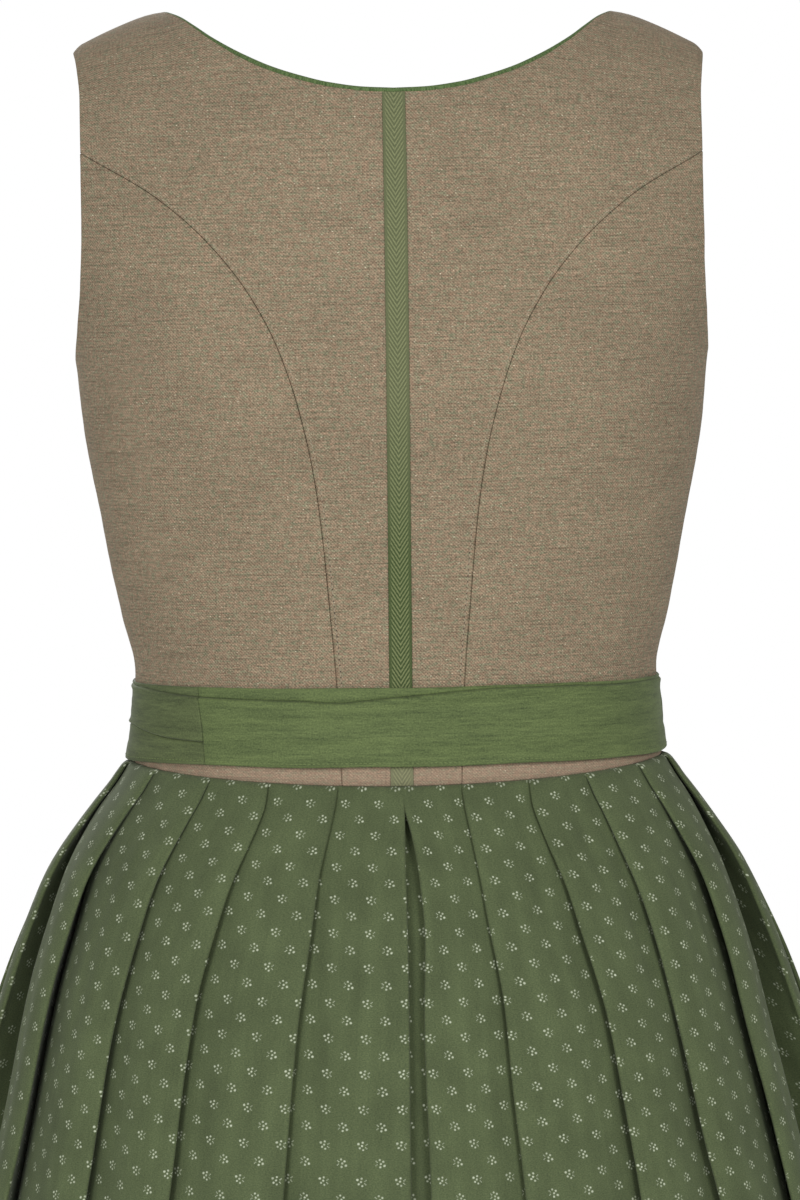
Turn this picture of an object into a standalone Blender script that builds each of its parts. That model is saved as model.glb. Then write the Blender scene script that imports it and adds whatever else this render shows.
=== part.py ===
"""A dirndl dress with its own apron, hollow, as it hangs worn on a stand.

The bodice is a sleeveless linen one cut with princess seams, a taped centre back and a buttoned
front. The skirt is laid in knife pleats that face the centre back, where two of them meet. The
apron is gathered in front, and its band runs round the waist to a bow.

Sizes are in millimetres until a mesh is made. The front faces -Y and the wearer's left is +X. The
origin is midway between the shoulder straps, level with their tops. Two measures place a point on
the cloth: its rise above the waist seam at the centre back, and its turn in degrees round the body,
0 at the centre back, 90 at the wearer's left side and 180 at the centre front.
"""

import bpy
import numpy as np

MM = 0.001
COLLECTION = "dirndl_dress"

SHOULDER_RISE = 380.3  # waist seam at the centre back to the top of a strap, at the neck
WALL = 1.2  # bodice, band and apron cloth
PLEAT_WALL = 1.0  # skirt cloth
SEAM = 0.3  # between two pieces
SIDE_SEAM = 0.5  # between a back piece and a front piece
LIFT = 1.4  # middle of a piece laid on the bodice, above the middle of the bodice's own wall

NECK_X = 111.8
TIP_X = 156.6
TIP_RISE = 360.8
SHOULDER_SLOPE = (SHOULDER_RISE - TIP_RISE) / (TIP_X - NECK_X)
SHOULDER_ROUND = 85.0  # how far below its ridge the shoulder starts to round over
UNDERARM_RISE = 208.0
SEAM_DIP = 6.8  # the waist seam is this much lower at the centre back than at the sides

TAPE_WIDTH = 12.0
PIPING_RADIUS = 1.2
PLACKET_WIDTH = 20.0
BUTTON_COUNT = 6
BUTTON_RADIUS = 5.5
BUTTON_THICK = 2.4

BAND_LIFT = 3.9
BAND_LOW = 8.5
BAND_HIGH = 47.0
BAND_JOIN = 47.0  # turn of the seam between band and tie
KNOT_TURN = -150.0
TURN_PER_MM = 0.44  # along the band, near the knot
KNOT_HALF = (11.0, 6.0, 14.0)

SKIRT_LENGTH = 690.0
PLEAT_VISIBLE = 36.5  # width of a pleat at the waist
PLEAT_UNDER = 35.0  # width folded under it
PLEAT_STACK = 8.0  # thickness of the folded layers at the waist
FOLD_GAP = 1.7  # between the middles of two layers at a crease

APRON_LENGTH = 640.0
APRON_TURN = 62.0  # half the apron's spread round the front
APRON_GATHERS = 10

# rise, half width, depth behind the side seam, depth in front of it
BODICE = (
    (0.0, 133.0, 88.0, 106.0),
    (35.0, 131.5, 87.5, 107.0),
    (50.0, 131.5, 88.0, 109.0),
    (80.0, 136.7, 91.0, 116.0),
    (110.0, 142.5, 95.0, 125.0),
    (140.0, 148.0, 99.0, 133.0),
    (170.0, 153.5, 102.5, 137.0),
    (208.0, 157.8, 105.5, 133.0),
    (228.0, 161.5, 106.0, 126.0),
    (248.0, 167.0, 106.0, 117.0),
    (268.0, 173.0, 105.0, 108.0),
    (293.0, 178.0, 102.0, 98.0),
    (323.0, 181.0, 95.0, 86.0),
    (345.0, 181.0, 88.0, 77.0),
    (381.0, 181.0, 78.0, 66.0),
)

# rise, distance of the armhole's edge from the middle of the dress
ARMHOLE = (
    (208.0, 157.7),
    (216.0, 156.9),
    (226.0, 156.0),
    (241.0, 154.5),
    (260.0, 153.5),
    (300.0, 153.0),
    (335.0, 153.3),
    (350.0, 155.0),
    (361.0, 156.6),
)

# rise, distance of the seam from the middle of the dress
BACK_PRINCESS = (
    (0.0, 29.1),
    (46.6, 31.0),
    (90.2, 34.5),
    (129.0, 38.1),
    (158.1, 42.3),
    (187.2, 49.1),
    (213.9, 58.2),
    (240.6, 72.4),
    (264.8, 91.6),
    (286.7, 116.6),
    (308.4, 153.0),
)
FRONT_PRINCESS = (
    (0.0, 45.0),
    (60.0, 52.0),
    (110.0, 61.0),
    (150.0, 71.0),
    (185.0, 85.0),
    (215.0, 104.0),
    (235.0, 124.0),
    (256.0, 153.7),
)

# distance from the middle, rise
BACK_NECK = (
    (0.0, 338.8),
    (14.6, 339.7),
    (31.9, 342.3),
    (44.6, 345.5),
    (59.8, 350.4),
    (73.5, 357.0),
    (88.7, 366.5),
    (96.8, 372.0),
    (104.4, 377.0),
    (111.8, 380.3),
)

# rise, distance from the middle
FRONT_NECK = (
    (205.0, 0.0),
    (206.0, 22.0),
    (208.5, 38.0),
    (212.5, 52.0),
    (221.0, 68.0),
    (232.0, 80.0),
    (248.0, 91.0),
    (275.0, 101.0),
    (308.0, 107.5),
    (350.0, 111.0),
    (380.3, 111.8),
)

# depth below the waist seam, half width over the pleats, depth behind, depth in front
SKIRT = (
    (0.0, 139.5, 96.5, 115.0),
    (3.0, 140.0, 97.0, 115.5),
    (8.0, 142.6, 100.0, 118.0),
    (17.0, 149.2, 106.0, 123.5),
    (31.5, 159.3, 115.0, 131.0),
    (51.5, 172.8, 127.0, 141.0),
    (71.5, 182.5, 137.0, 149.0),
    (101.5, 195.3, 148.0, 158.0),
    (157.0, 214.0, 168.0, 175.0),
    (214.0, 231.0, 185.0, 190.0),
    (300.0, 252.0, 206.0, 208.0),
    (450.0, 284.0, 239.0, 240.0),
    (SKIRT_LENGTH, 322.0, 284.0, 284.0),
)

# depth below the waist seam, then the turn of each pleat's outer crease, 1 to 9
CREASES = (
    (0.0, 13.8, 29.0, 44.0, 63.2, 84.0, 104.0, 122.0, 140.0, 160.0),
    (15.0, 13.6, 27.9, 43.8, 62.9, 82.5, 102.5, 120.5, 138.5, 159.5),
    (52.0, 13.9, 29.0, 43.6, 61.6, 79.5, 98.5, 117.5, 136.5, 158.0),
    (110.0, 14.7, 30.4, 43.6, 59.8, 76.5, 95.5, 114.5, 134.5, 157.0),
    (190.0, 15.1, 30.1, 42.8, 58.0, 75.0, 94.0, 113.5, 133.5, 156.5),
    (SKIRT_LENGTH, 15.5, 31.5, 47.0, 63.0, 80.0, 97.5, 115.5, 134.5, 156.5),
)

# depth below the waist seam, half the opening between the two pleats at the centre back, how far
# its underlay lies behind their creases
CENTRE_PLEAT = (
    (0.0, 1.0, 8.0),
    (20.0, 1.6, 10.0),
    (60.0, 5.0, 17.0),
    (110.0, 5.8, 19.0),
    (SKIRT_LENGTH, 9.0, 20.0),
)

# where the rows and columns of points fall
BACK_SEAM_STOPS = (0.0, 43.0, 90.0, 137.0, 180.0, 215.0, 245.0, 268.0, 286.0, 299.0, 308.4)
BACK_ARMHOLE_STOPS = (326.0, 342.0, 353.0, 359.0, 360.8)
FRONT_SEAM_STOPS = (0.0, 40.0, 65.0, 92.0, 130.0, 165.0, 194.5, 195.5, 197.7, 201.6, 210.0, 220.0, 235.0, 256.0)
FRONT_ARMHOLE_STOPS = (288.0, 310.0, 329.0, 345.0, 355.5, 360.8)
PANEL_STOPS = (0.25, 0.5, 0.78)
SKIRT_STOPS = (0.0, 3.0, 10.0, 20.0, 36.0, 60.0, 95.0, 140.0, 200.0, 290.0, 400.0, 540.0, SKIRT_LENGTH)


def curve(rows, column=1):
    """A smooth line through one column of a table, against its first column, that doesn't overshoot."""
    xs = np.array([row[0] for row in rows])
    ys = np.array([row[column] for row in rows])
    steps = np.diff(xs)
    slopes = np.diff(ys) / steps
    tangents = np.concatenate([slopes[:1], np.zeros(len(xs) - 2), slopes[-1:]])
    for i in range(1, len(xs) - 1):
        before, after = slopes[i - 1], slopes[i]
        if before * after > 0:
            tangents[i] = 2 * before * after / (before + after)

    def at(x):
        x = min(max(x, xs[0]), xs[-1])
        i = min(int(np.searchsorted(xs, x, side="right")) - 1, len(steps) - 1)
        t = (x - xs[i]) / steps[i]
        start = (2 * t**3 - 3 * t**2 + 1) * ys[i] + (t**3 - 2 * t**2 + t) * steps[i] * tangents[i]
        end = (3 * t**2 - 2 * t**3) * ys[i + 1] + (t**3 - t**2) * steps[i] * tangents[i + 1]
        return float(start + end)

    return at


body_width = curve(BODICE)
body_back = curve(BODICE, 2)
body_front = curve(BODICE, 3)
armhole_x = curve(ARMHOLE)
back_princess_x = curve(BACK_PRINCESS)
front_princess_x = curve(FRONT_PRINCESS)
back_neck_rise = curve(BACK_NECK)
front_neck_x = curve(FRONT_NECK)
skirt_width = curve(SKIRT)
skirt_back_depth = curve(SKIRT, 2)
skirt_front_depth = curve(SKIRT, 3)
crease_turns = [curve(CREASES, k) for k in range(1, 10)]
centre_opening = curve(CENTRE_PLEAT)
centre_underlay = curve(CENTRE_PLEAT, 2)


def waist_rise(turn):
    """Height of the waist seam, which dips at the centre back and the centre front."""
    return SEAM_DIP * np.sin(np.radians(turn)) ** 2


def ridge_rise(x):
    """Height of the shoulder's ridge at a distance from the middle."""
    return SHOULDER_RISE - (x - NECK_X) * SHOULDER_SLOPE


def turn_of(x, rise):
    """Turn at which the bodice's section passes a distance from the middle, on its back half."""
    return np.degrees(np.arcsin(min(x / body_width(rise), 1.0)))


def beside(seam_x, rise):
    """Half the gap of a slanting seam, measured level."""
    slope = (seam_x(rise + 1.0) - seam_x(rise - 1.0)) / 2.0
    return SEAM / 2 * np.sqrt(1.0 + slope**2) + 0.1


def waist_low(turn, rise):
    """How far a row near the waist is raised, so that the lowest one follows the waist seam."""
    return (waist_rise(turn) + SEAM) * max(0.0, 1.0 - rise / 100.0)


def armhole_turn(rise):
    return turn_of(armhole_x(rise), rise)


def bodice_point(turn, rise, back, lift=0.0):
    """A point of the bodice, on its back half or, for the same turn, on its front half."""
    angle = np.radians(turn)
    width = body_width(rise)
    depth = body_back(rise) if back else body_front(rise)
    x = width * np.sin(angle)
    below = min(max((ridge_rise(x) - rise) / SHOULDER_ROUND, 0.0), 1.0)
    y = depth * np.cos(angle) * np.sqrt(1.0 - (1.0 - below) ** 2) + SIDE_SEAM / 2
    outward = np.array([np.sin(angle) / width, np.cos(angle) / depth])
    outward = outward / np.linalg.norm(outward) * lift
    side = 1.0 if back else -1.0
    return (x + outward[0], side * (y + outward[1]), rise)


def wrap_point(turn, rise, lift):
    """A point round the waist at any turn, a lift out from the bodice."""
    turn = (turn + 180.0) % 360.0 - 180.0
    back = abs(turn) <= 90.0
    x, y, z = bodice_point(abs(turn) if back else 180.0 - abs(turn), rise, back, lift)
    return (x if turn >= 0 else -x, y, z)


def skirt_point(turn, depth, lift=0.0):
    """A point of the line that the skirt's outer creases lie on."""
    angle = np.radians(turn)
    deep = skirt_back_depth(depth) if np.cos(angle) >= 0 else skirt_front_depth(depth)
    return np.array([(skirt_width(depth) + lift) * np.sin(angle), (deep + lift) * np.cos(angle)])


def material(name, colour, roughness):
    shade = bpy.data.materials.new(name)
    shade.use_nodes = True
    surface = shade.node_tree.nodes["Principled BSDF"]
    surface.inputs["Base Color"].default_value = (*colour, 1.0)
    surface.inputs["Roughness"].default_value = roughness
    return shade


def add_mesh(name, points, faces, finish):
    """One object from points in millimetres, moved so that the origin is at the shoulders."""
    placed = np.array(points, dtype=float)
    placed[:, 2] -= SHOULDER_RISE
    mesh = bpy.data.meshes.new(name)
    mesh.from_pydata((placed * MM).tolist(), [], faces)
    mesh.materials.append(finish)
    piece = bpy.data.objects.new(name, mesh)
    bpy.data.collections[COLLECTION].objects.link(piece)
    return piece


def add_sheet(name, rows, wall, finish):
    """Cloth through a grid of points, given its thickness half to each side."""
    across = len(rows[0])
    points = [point for row in rows for point in row]
    faces = []
    for j in range(len(rows) - 1):
        for i in range(across - 1):
            corner = j * across + i
            faces.append((corner, corner + 1, corner + across + 1, corner + across))
    piece = add_mesh(name, points, faces, finish)
    solid = piece.modifiers.new("Cloth", "SOLIDIFY")
    solid.thickness = wall * MM
    solid.offset = 0.0
    solid.use_even_offset = True
    return piece


def add_tube(name, path, sides, radius, finish):
    """A round cord along a path of (point, outward, upward) frames."""
    points = []
    for centre, outward, upward in path:
        for angle in np.linspace(0.0, 2 * np.pi, sides, endpoint=False):
            points.append(centre + radius * (np.cos(angle) * outward + np.sin(angle) * upward))
    faces = []
    for j in range(len(path) - 1):
        for i in range(sides):
            k = (i + 1) % sides
            faces.append((j * sides + i, j * sides + k, (j + 1) * sides + k, (j + 1) * sides + i))
    last = (len(path) - 1) * sides
    faces.append(tuple(reversed(range(sides))))
    faces.append(tuple(range(last, last + sides)))
    return add_mesh(name, points, faces, finish)


def flip(rows, side):
    """The grid as it is for the wearer's left, or mirrored for the right."""
    return [[(side * x, y, z) for x, y, z in row] for row in rows]


def back_centre_rows():
    """From the centre back to the princess seam, the armhole, the shoulder and the neck."""
    neck = NECK_X / TIP_X
    across = [neck * t for t in (0.0, 0.17, 0.34, 0.5, 0.66, 0.8, 0.91, 1.0)] + [0.81, 0.905, 1.0]
    rows = []
    for edge_rise in BACK_SEAM_STOPS + BACK_ARMHOLE_STOPS:
        if edge_rise <= BACK_SEAM_STOPS[-1]:
            edge = back_princess_x(edge_rise) - beside(back_princess_x, edge_rise)
        else:
            edge = armhole_x(edge_rise)
        row = []
        for u in across:
            top_x = u * TIP_X
            top = back_neck_rise(top_x) if u <= neck else ridge_rise(top_x)
            x = SEAM / 2 + u * (edge - SEAM / 2)
            rise = top * edge_rise / TIP_RISE + waist_low(turn_of(x, 0.0), edge_rise)
            row.append(bodice_point(turn_of(x, rise), rise, True))
        rows.append(row)
    return rows


def side_rows(princess_x, stops, back):
    """From a princess seam to the side seam, up to the lower part of the armhole."""
    tip = stops[-1]
    rows = []
    for level in stops:
        v = level / tip
        row = []
        for u in (0.0, 0.18, 0.36, 0.54, 0.7, 0.86, 1.0):
            top = UNDERARM_RISE + (tip - UNDERARM_RISE) * (1.0 - u) ** 2
            seam_top = turn_of(princess_x(top) + beside(princess_x, top), top)
            reach = (armhole_turn(top) - seam_top) / (90.0 - seam_top)
            share = (1.0 - v) * u + v * max(reach, 0.0)
            rise = v * top
            seam = turn_of(princess_x(rise) + beside(princess_x, rise), rise)
            turn = seam + share * (90.0 - seam)
            row.append(bodice_point(turn, rise + waist_low(turn, rise), back))
        rows.append(row)
    return rows


def front_centre_rows():
    """From the centre front and the neckline to the princess seam and the armhole."""
    rows = []
    for far_rise in FRONT_SEAM_STOPS + FRONT_ARMHOLE_STOPS:
        near_rise = far_rise / TIP_RISE * SHOULDER_RISE
        near = max(front_neck_x(near_rise), SEAM / 2)
        if far_rise <= FRONT_SEAM_STOPS[-1]:
            far = front_princess_x(far_rise) - beside(front_princess_x, far_rise)
        else:
            far = armhole_x(far_rise)
        row = []
        for u in (0.0, 0.2, 0.4, 0.6, 0.8, 1.0):
            x = near + u * (far - near)
            rise = near_rise + u * (far_rise - near_rise) + waist_low(turn_of(x, 0.0), far_rise)
            row.append(bodice_point(turn_of(x, rise), rise, False))
        rows.append(row)
    return rows


def middle_strip_rows(width, stops, back):
    """A narrow strip laid over the bodice's centre back or centre front."""
    rows = []
    for rise in stops:
        row = []
        for share in (-1.0, -0.5, 0.0, 0.5, 1.0):
            x = abs(share) * width / 2
            point = bodice_point(turn_of(x, rise), rise, back, LIFT)
            row.append((point[0] if share >= 0 else -point[0], point[1], point[2]))
        rows.append(row)
    return rows


def piping_path():
    """Along the neckline's edge, from the centre front round the back to the centre front."""
    away = PIPING_RADIUS + SEAM + 0.5
    edge = []
    for rise in (205.0, 206.0, 208.5, 212.5, 221.0, 232.0, 248.0, 275.0, 308.0, 338.0, 360.0, 373.0, 379.0):
        x = max(front_neck_x(rise), SEAM)
        inner = np.array(bodice_point(turn_of(x, rise), rise, False))
        lower = np.array(bodice_point(turn_of(x, rise - 2.0), rise - 2.0, False))
        farther = np.array(bodice_point(turn_of(x + 2.0, rise), rise, False))
        edge.append((inner, lower - inner, farther - inner))
    for share in (0.995, 0.98, 0.95, 0.91, 0.85, 0.77, 0.66, 0.5, 0.34, 0.17, 0.0):
        x = share * NECK_X
        rise = back_neck_rise(x)
        inner = np.array(bodice_point(turn_of(x, rise), rise, True))
        lower = np.array(bodice_point(turn_of(x, rise - 2.0), rise - 2.0, True))
        farther = np.array(bodice_point(turn_of(x + 2.0, rise), rise, True))
        edge.append((inner, lower - inner, farther - inner))
    half = []
    for i, (inner, down, out) in enumerate(edge):
        before = edge[max(i - 1, 0)][0]
        after = edge[min(i + 1, len(edge) - 1)][0]
        along = after - before
        if i == len(edge) - 1:
            along = np.array([-1.0, 0.0, 0.0])
        along = along / np.linalg.norm(along)
        face = np.cross(down, out)
        face = face / np.linalg.norm(face)
        if face[1] * inner[1] < 0:
            face = -face
        upward = np.cross(along, face)
        upward = upward / np.linalg.norm(upward)
        if np.dot(upward, down + out) > 0:
            upward = -upward
        outward = np.cross(upward, along)
        half.append((inner + upward * away, outward / np.linalg.norm(outward), upward))
    mirror = np.array([-1.0, 1.0, 1.0])
    other = [(centre * mirror, outward * mirror, upward * mirror) for centre, outward, upward in half]
    return half + other[-2::-1]


def skirt_normal(turn, depth):
    """Level direction out of the line that the outer creases lie on."""
    angle = np.radians(turn)
    deep = skirt_back_depth(depth) if abs(turn) <= 90.0 else skirt_front_depth(depth)
    normal = np.array([np.sin(angle) / skirt_width(depth), np.cos(angle) / deep])
    return normal / np.linalg.norm(normal)


def under(turn, depth, fall):
    """A point a fall inside the line that the outer creases lie on."""
    return skirt_point(turn, depth) - skirt_normal(turn, depth) * fall


def pleat_half(depth):
    """One row of the skirt from the centre back to the centre front, as crease pairs and panels."""
    outer = [np.degrees(np.arcsin(centre_opening(depth) / skirt_width(depth)))]
    outer += [turn_at(depth) for turn_at in crease_turns] + [180.0]
    count = len(outer) - 1
    long_side = PLEAT_VISIBLE + PLEAT_UNDER
    roundness = 1.0 + 0.7 * min(depth / 60.0, 1.0)

    # each inner crease, as its turn and how far it lies inside the outer creases
    tucked = centre_underlay(depth)
    inner = [(np.degrees(np.arcsin((PLEAT_UNDER - 2.5) / skirt_width(depth))), tucked)]
    for k in range(1, count):
        span = np.linalg.norm(skirt_point(outer[k], depth) - skirt_point(outer[k - 1], depth))
        ahead = np.linalg.norm(skirt_point(outer[k + 1], depth) - skirt_point(outer[k], depth))
        past = (long_side**2 - PLEAT_UNDER**2 - span**2) / (2 * span)
        past = min(max(past, -0.9 * PLEAT_UNDER), ahead - 2.5, PLEAT_UNDER - 2.0)
        fall = np.sqrt(max(PLEAT_UNDER**2 - past**2, PLEAT_STACK**2))
        fall = PLEAT_STACK + (fall - PLEAT_STACK) * min(depth / 15.0, 1.0)
        step = (outer[k + 1] - outer[k]) / ahead if past > 0 else (outer[k] - outer[k - 1]) / span
        inner.append((outer[k] + past * step, fall))

    row = [("underlay", np.array([0.0, under(inner[0][0], depth, tucked)[1]]))]
    for k in range(count):
        turn, fall = inner[k]
        row.append(("inner", under(turn, depth, fall)))
        row.append(("return", under(turn, depth, fall - FOLD_GAP)))
        row.append(("return", under((turn + outer[k]) / 2, depth, fall / 2)))
        row.append(("outer", under(outer[k], depth, FOLD_GAP)))
        row.append(("panel", skirt_point(outer[k], depth)))
        if k == count - 1:
            for turn in (166.0, 173.0, 180.0):
                row.append(("panel", skirt_point(turn, depth)))
            continue
        turn, fall = inner[k + 1]
        for share in PANEL_STOPS:
            along = outer[k] + share * (turn - outer[k])
            row.append(("panel", under(along, depth, fall * share**roundness)))
    return row


def skirt_rows():
    """The back and the front of the skirt, which meet in an inner crease at each side."""
    back, front = [], []
    for depth in SKIRT_STOPS:
        half = pleat_half(depth)
        fade = 1.0 - min(depth / 300.0, 1.0)
        placed = []
        creases = 0
        split = 0
        for i, (kind, point) in enumerate(half):
            turn = np.degrees(np.arctan2(point[0] / skirt_width(depth), point[1] / skirt_back_depth(depth)))
            rise = waist_rise(turn) * fade - depth - SEAM / 2
            placed.append((point[0], point[1], rise))
            if kind == "inner":
                if creases == 5:
                    split = i
                creases += 1
        mirrored = [(-x, y, z) for x, y, z in placed]
        back.append(mirrored[split:0:-1] + placed[: split + 1])
        front.append(placed[split + 1 :] + mirrored[-2:split:-1])
    return back, front


def apron_rows():
    """Gathered under the band in front, and hanging clear of the pleats."""
    # depth below the waist seam, lift from the bodice
    top = ((-7.6, BAND_LIFT), (-5.2, BAND_LIFT + 5.0), (-1.5, BAND_LIFT + 8.0))
    stops = (5.0, 20.0, 45.0, 90.0, 160.0, 260.0, 380.0, 510.0, APRON_LENGTH)
    columns = APRON_GATHERS * 4 + 1
    turns = [180.0 + APRON_TURN * (2.0 * i / (columns - 1) - 1.0) for i in range(columns)]
    waves = [np.cos(np.pi * i / 2.0) for i in range(columns)]
    rows = []
    for depth, lift in top:
        rows.append([wrap_point(turn, -depth, lift + 0.8 * wave) for turn, wave in zip(turns, waves)])
    for depth in stops:
        swing = 1.5 + 6.0 * depth / APRON_LENGTH
        row = []
        for turn, wave in zip(turns, waves):
            x, y = skirt_point(turn, depth, 4.5 + swing + swing * wave)
            row.append((x, y, -depth))
        rows.append(row)
    return rows


def band_rows(start, stop, steps):
    """Part of the band round the waist between two turns."""
    rows = []
    for rise in (BAND_LOW, 21.0, 34.0, BAND_HIGH):
        turns = np.linspace(start, stop, steps)
        rows.append([wrap_point(turn, rise, BAND_LIFT) for turn in turns])
    return rows


def loop_rows(side):
    """One loop of the bow, a strip that runs out from the knot and back to it."""
    # distance from the knot's middle, lift above the band, half the strip's width, droop
    stations = (
        (11.5, 8.6, 8.0, 0.0),
        (26.0, 14.0, 12.0, 0.5),
        (45.0, 18.0, 14.5, 1.5),
        (64.0, 18.0, 16.0, 2.2),
        (78.0, 15.5, 16.0, 2.8),
        (85.0, 11.0, 16.0, 3.0),
        (83.0, 6.5, 16.0, 3.0),
        (72.0, 4.2, 16.0, 2.5),
        (52.0, 4.0, 15.0, 1.5),
        (30.0, 4.6, 12.0, 0.5),
        (11.5, 6.6, 8.0, 0.0),
    )
    rows = []
    middle = (BAND_LOW + BAND_HIGH) / 2
    per_mm = TURN_PER_MM if side > 0 else 0.965 * TURN_PER_MM
    for across in (-1.0, -0.5, 0.0, 0.5, 1.0):
        row = []
        for along, lift, half, droop in stations:
            turn = KNOT_TURN + side * along * per_mm
            belly = 1.5 * (1.0 - across**2)
            row.append(wrap_point(turn, middle + across * half - droop, BAND_LIFT + lift + belly))
        rows.append(row)
    return rows


def tail_rows(side):
    """One end of the tied band, hanging from the knot over the apron."""
    # rise, half the strip's width, distance from the knot's middle, lift from the bodice or skirt
    stations = (
        (13.1, 5.0, 5.6, 7.7),
        (8.0, 6.0, 7.0, 11.0),
        (3.0, 7.0, 8.2, 15.4),
        (-6.0, 9.0, 10.4, 10.2),
        (-30.0, 13.0, 15.0, 10.8),
        (-70.0, 16.5, 20.0, 11.6),
        (-125.0, 18.5, 24.0, 12.6),
        (-185.0, 18.5, 27.0, 13.8),
        (-250.0, 18.5, 30.0, 15.2),
    )
    rows = []
    for rise, half, shift, lift in stations:
        row = []
        for across in (-1.0, -0.5, 0.0, 0.5, 1.0):
            away = lift + 1.2 * (1.0 - across**2) * min(half / 18.0, 1.0)
            turn = side * (shift + side * across * half) * TURN_PER_MM
            if rise > 0:
                x, y, z = wrap_point(KNOT_TURN + turn, rise, away)
            else:
                x, y = skirt_point(KNOT_TURN + turn * 140.0 / skirt_width(-rise), -rise, away)
            row.append((x, y, rise))
        rows.append(row)
    return rows


def add_knot(finish):
    centre = np.array(wrap_point(KNOT_TURN, (BAND_LOW + BAND_HIGH) / 2, BAND_LIFT + 7.7))
    half = np.array(KNOT_HALF)
    corners = [(sx, sy, sz) for sz in (-1, 1) for sy in (-1, 1) for sx in (-1, 1)]
    lean = np.radians(-(KNOT_TURN + 180.0))
    points = []
    for corner in corners:
        x, y, z = half * corner
        points.append(centre + np.array([x * np.cos(lean) - y * np.sin(lean), x * np.sin(lean) + y * np.cos(lean), z]))
    faces = [(0, 2, 3, 1), (4, 5, 7, 6), (0, 1, 5, 4), (2, 6, 7, 3), (0, 4, 6, 2), (1, 3, 7, 5)]
    knot = add_mesh("bow_knot", points, faces, finish)
    rounding = knot.modifiers.new("Rounding", "BEVEL")
    rounding.width = 3.5 * MM
    rounding.segments = 3
    return knot


def add_button(number, rise, finish):
    """A flat disc with a rounded rim, on the placket and square to it."""
    low = np.array(bodice_point(0.0, rise - 5.0, False))
    high = np.array(bodice_point(0.0, rise + 5.0, False))
    upward = (high - low) / np.linalg.norm(high - low)
    outward = np.array([0.0, -upward[2], upward[1]])
    seat = np.array(bodice_point(0.0, rise, False, LIFT + WALL / 2 + SEAM + 0.4))
    seat[0] = 0.0
    sides = 16
    rings = ((0.88, 0.0), (1.0, 0.5), (0.84, 1.0), (0.5, 0.8))
    points = []
    for radius, level in rings:
        for angle in np.linspace(0.0, 2 * np.pi, sides, endpoint=False):
            around = np.array([1.0, 0.0, 0.0]) * np.cos(angle) + upward * np.sin(angle)
            points.append(seat + around * BUTTON_RADIUS * radius + outward * BUTTON_THICK * level)
    faces = [tuple(reversed(range(sides)))]
    for j in range(len(rings) - 1):
        for i in range(sides):
            k = (i + 1) % sides
            faces.append((j * sides + i, j * sides + k, (j + 1) * sides + k, (j + 1) * sides + i))
    faces.append(tuple(range((len(rings) - 1) * sides, len(rings) * sides)))
    return add_mesh(f"button_{number}", points, faces, finish)


def main():
    for leftover in list(bpy.data.objects):
        bpy.data.objects.remove(leftover)
    bpy.context.scene.collection.children.link(bpy.data.collections.new(COLLECTION))

    linen = material("bodice_linen", (0.263, 0.196, 0.133), 0.9)
    print_cotton = material("skirt_cotton", (0.091, 0.127, 0.048), 0.8)
    apron_cotton = material("apron_cotton", (0.107, 0.176, 0.063), 0.75)
    tape_cotton = material("tape_cotton", (0.109, 0.178, 0.061), 0.8)
    piping_cotton = material("piping_cotton", (0.06, 0.117, 0.042), 0.8)
    horn = material("button_horn", (0.12, 0.08, 0.045), 0.4)

    for name, side in (("left", 1.0), ("right", -1.0)):
        add_sheet(f"back_centre_{name}", flip(back_centre_rows(), side), WALL, linen)
        add_sheet(f"back_side_{name}", flip(side_rows(back_princess_x, BACK_SEAM_STOPS, True), side), WALL, linen)
        add_sheet(f"front_side_{name}", flip(side_rows(front_princess_x, FRONT_SEAM_STOPS, False), side), WALL, linen)
        add_sheet(f"front_centre_{name}", flip(front_centre_rows(), side), WALL, linen)

    tape_stops = [stop / TIP_RISE * BACK_NECK[0][1] for stop in BACK_SEAM_STOPS + BACK_ARMHOLE_STOPS]
    tape_stops = [SEAM * 2] + tape_stops[1:-1] + [BACK_NECK[0][1] - SEAM]
    add_sheet("back_tape", middle_strip_rows(TAPE_WIDTH, tape_stops, True), 1.0, tape_cotton)
    placket_stops = [stop / TIP_RISE * SHOULDER_RISE for stop in FRONT_SEAM_STOPS[1:7]]
    placket_stops = [SEAM * 2] + placket_stops[:-1] + [FRONT_NECK[0][0] - 2.0]
    add_sheet("front_placket", middle_strip_rows(PLACKET_WIDTH, placket_stops, False), WALL, linen)
    add_tube("neck_piping", piping_path(), 6, PIPING_RADIUS, piping_cotton)
    for number in range(BUTTON_COUNT):
        add_button(number + 1, 62.0 + 26.5 * number, horn)

    back, front = skirt_rows()
    add_sheet("skirt_back", back, PLEAT_WALL, print_cotton)
    add_sheet("skirt_front", front, PLEAT_WALL, print_cotton)

    add_sheet("apron_panel", apron_rows(), WALL, apron_cotton)
    gap = 0.08
    add_sheet("apron_band", band_rows(BAND_JOIN + gap, 360.0 + KNOT_TURN - gap, 27), WALL, apron_cotton)
    add_sheet("apron_tie", band_rows(KNOT_TURN + gap, BAND_JOIN - gap, 33), WALL, apron_cotton)
    add_knot(apron_cotton)
    for name, side in (("left", 1.0), ("right", -1.0)):
        add_sheet(f"bow_loop_{name}", loop_rows(-side), WALL, apron_cotton)
        add_sheet(f"bow_tail_{name}", tail_rows(-side), WALL, apron_cotton)


main()
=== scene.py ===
"""The looks of a dirndl dress with its apron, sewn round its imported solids.

Sizes are in millimetres until a mesh is made. The front faces -Y and the wearer's left is +X. A
place on the cloth is given by its rise above the waist seam at the centre back, or its depth below
it, and by its turn in degrees round the body: 0 at the centre back, 90 at the wearer's left side
and 180 at the centre front. Every cloth piece carries a UV map in millimetres of its own cloth.
"""

import bpy
import numpy as np
from mathutils import Matrix, Vector


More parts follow.
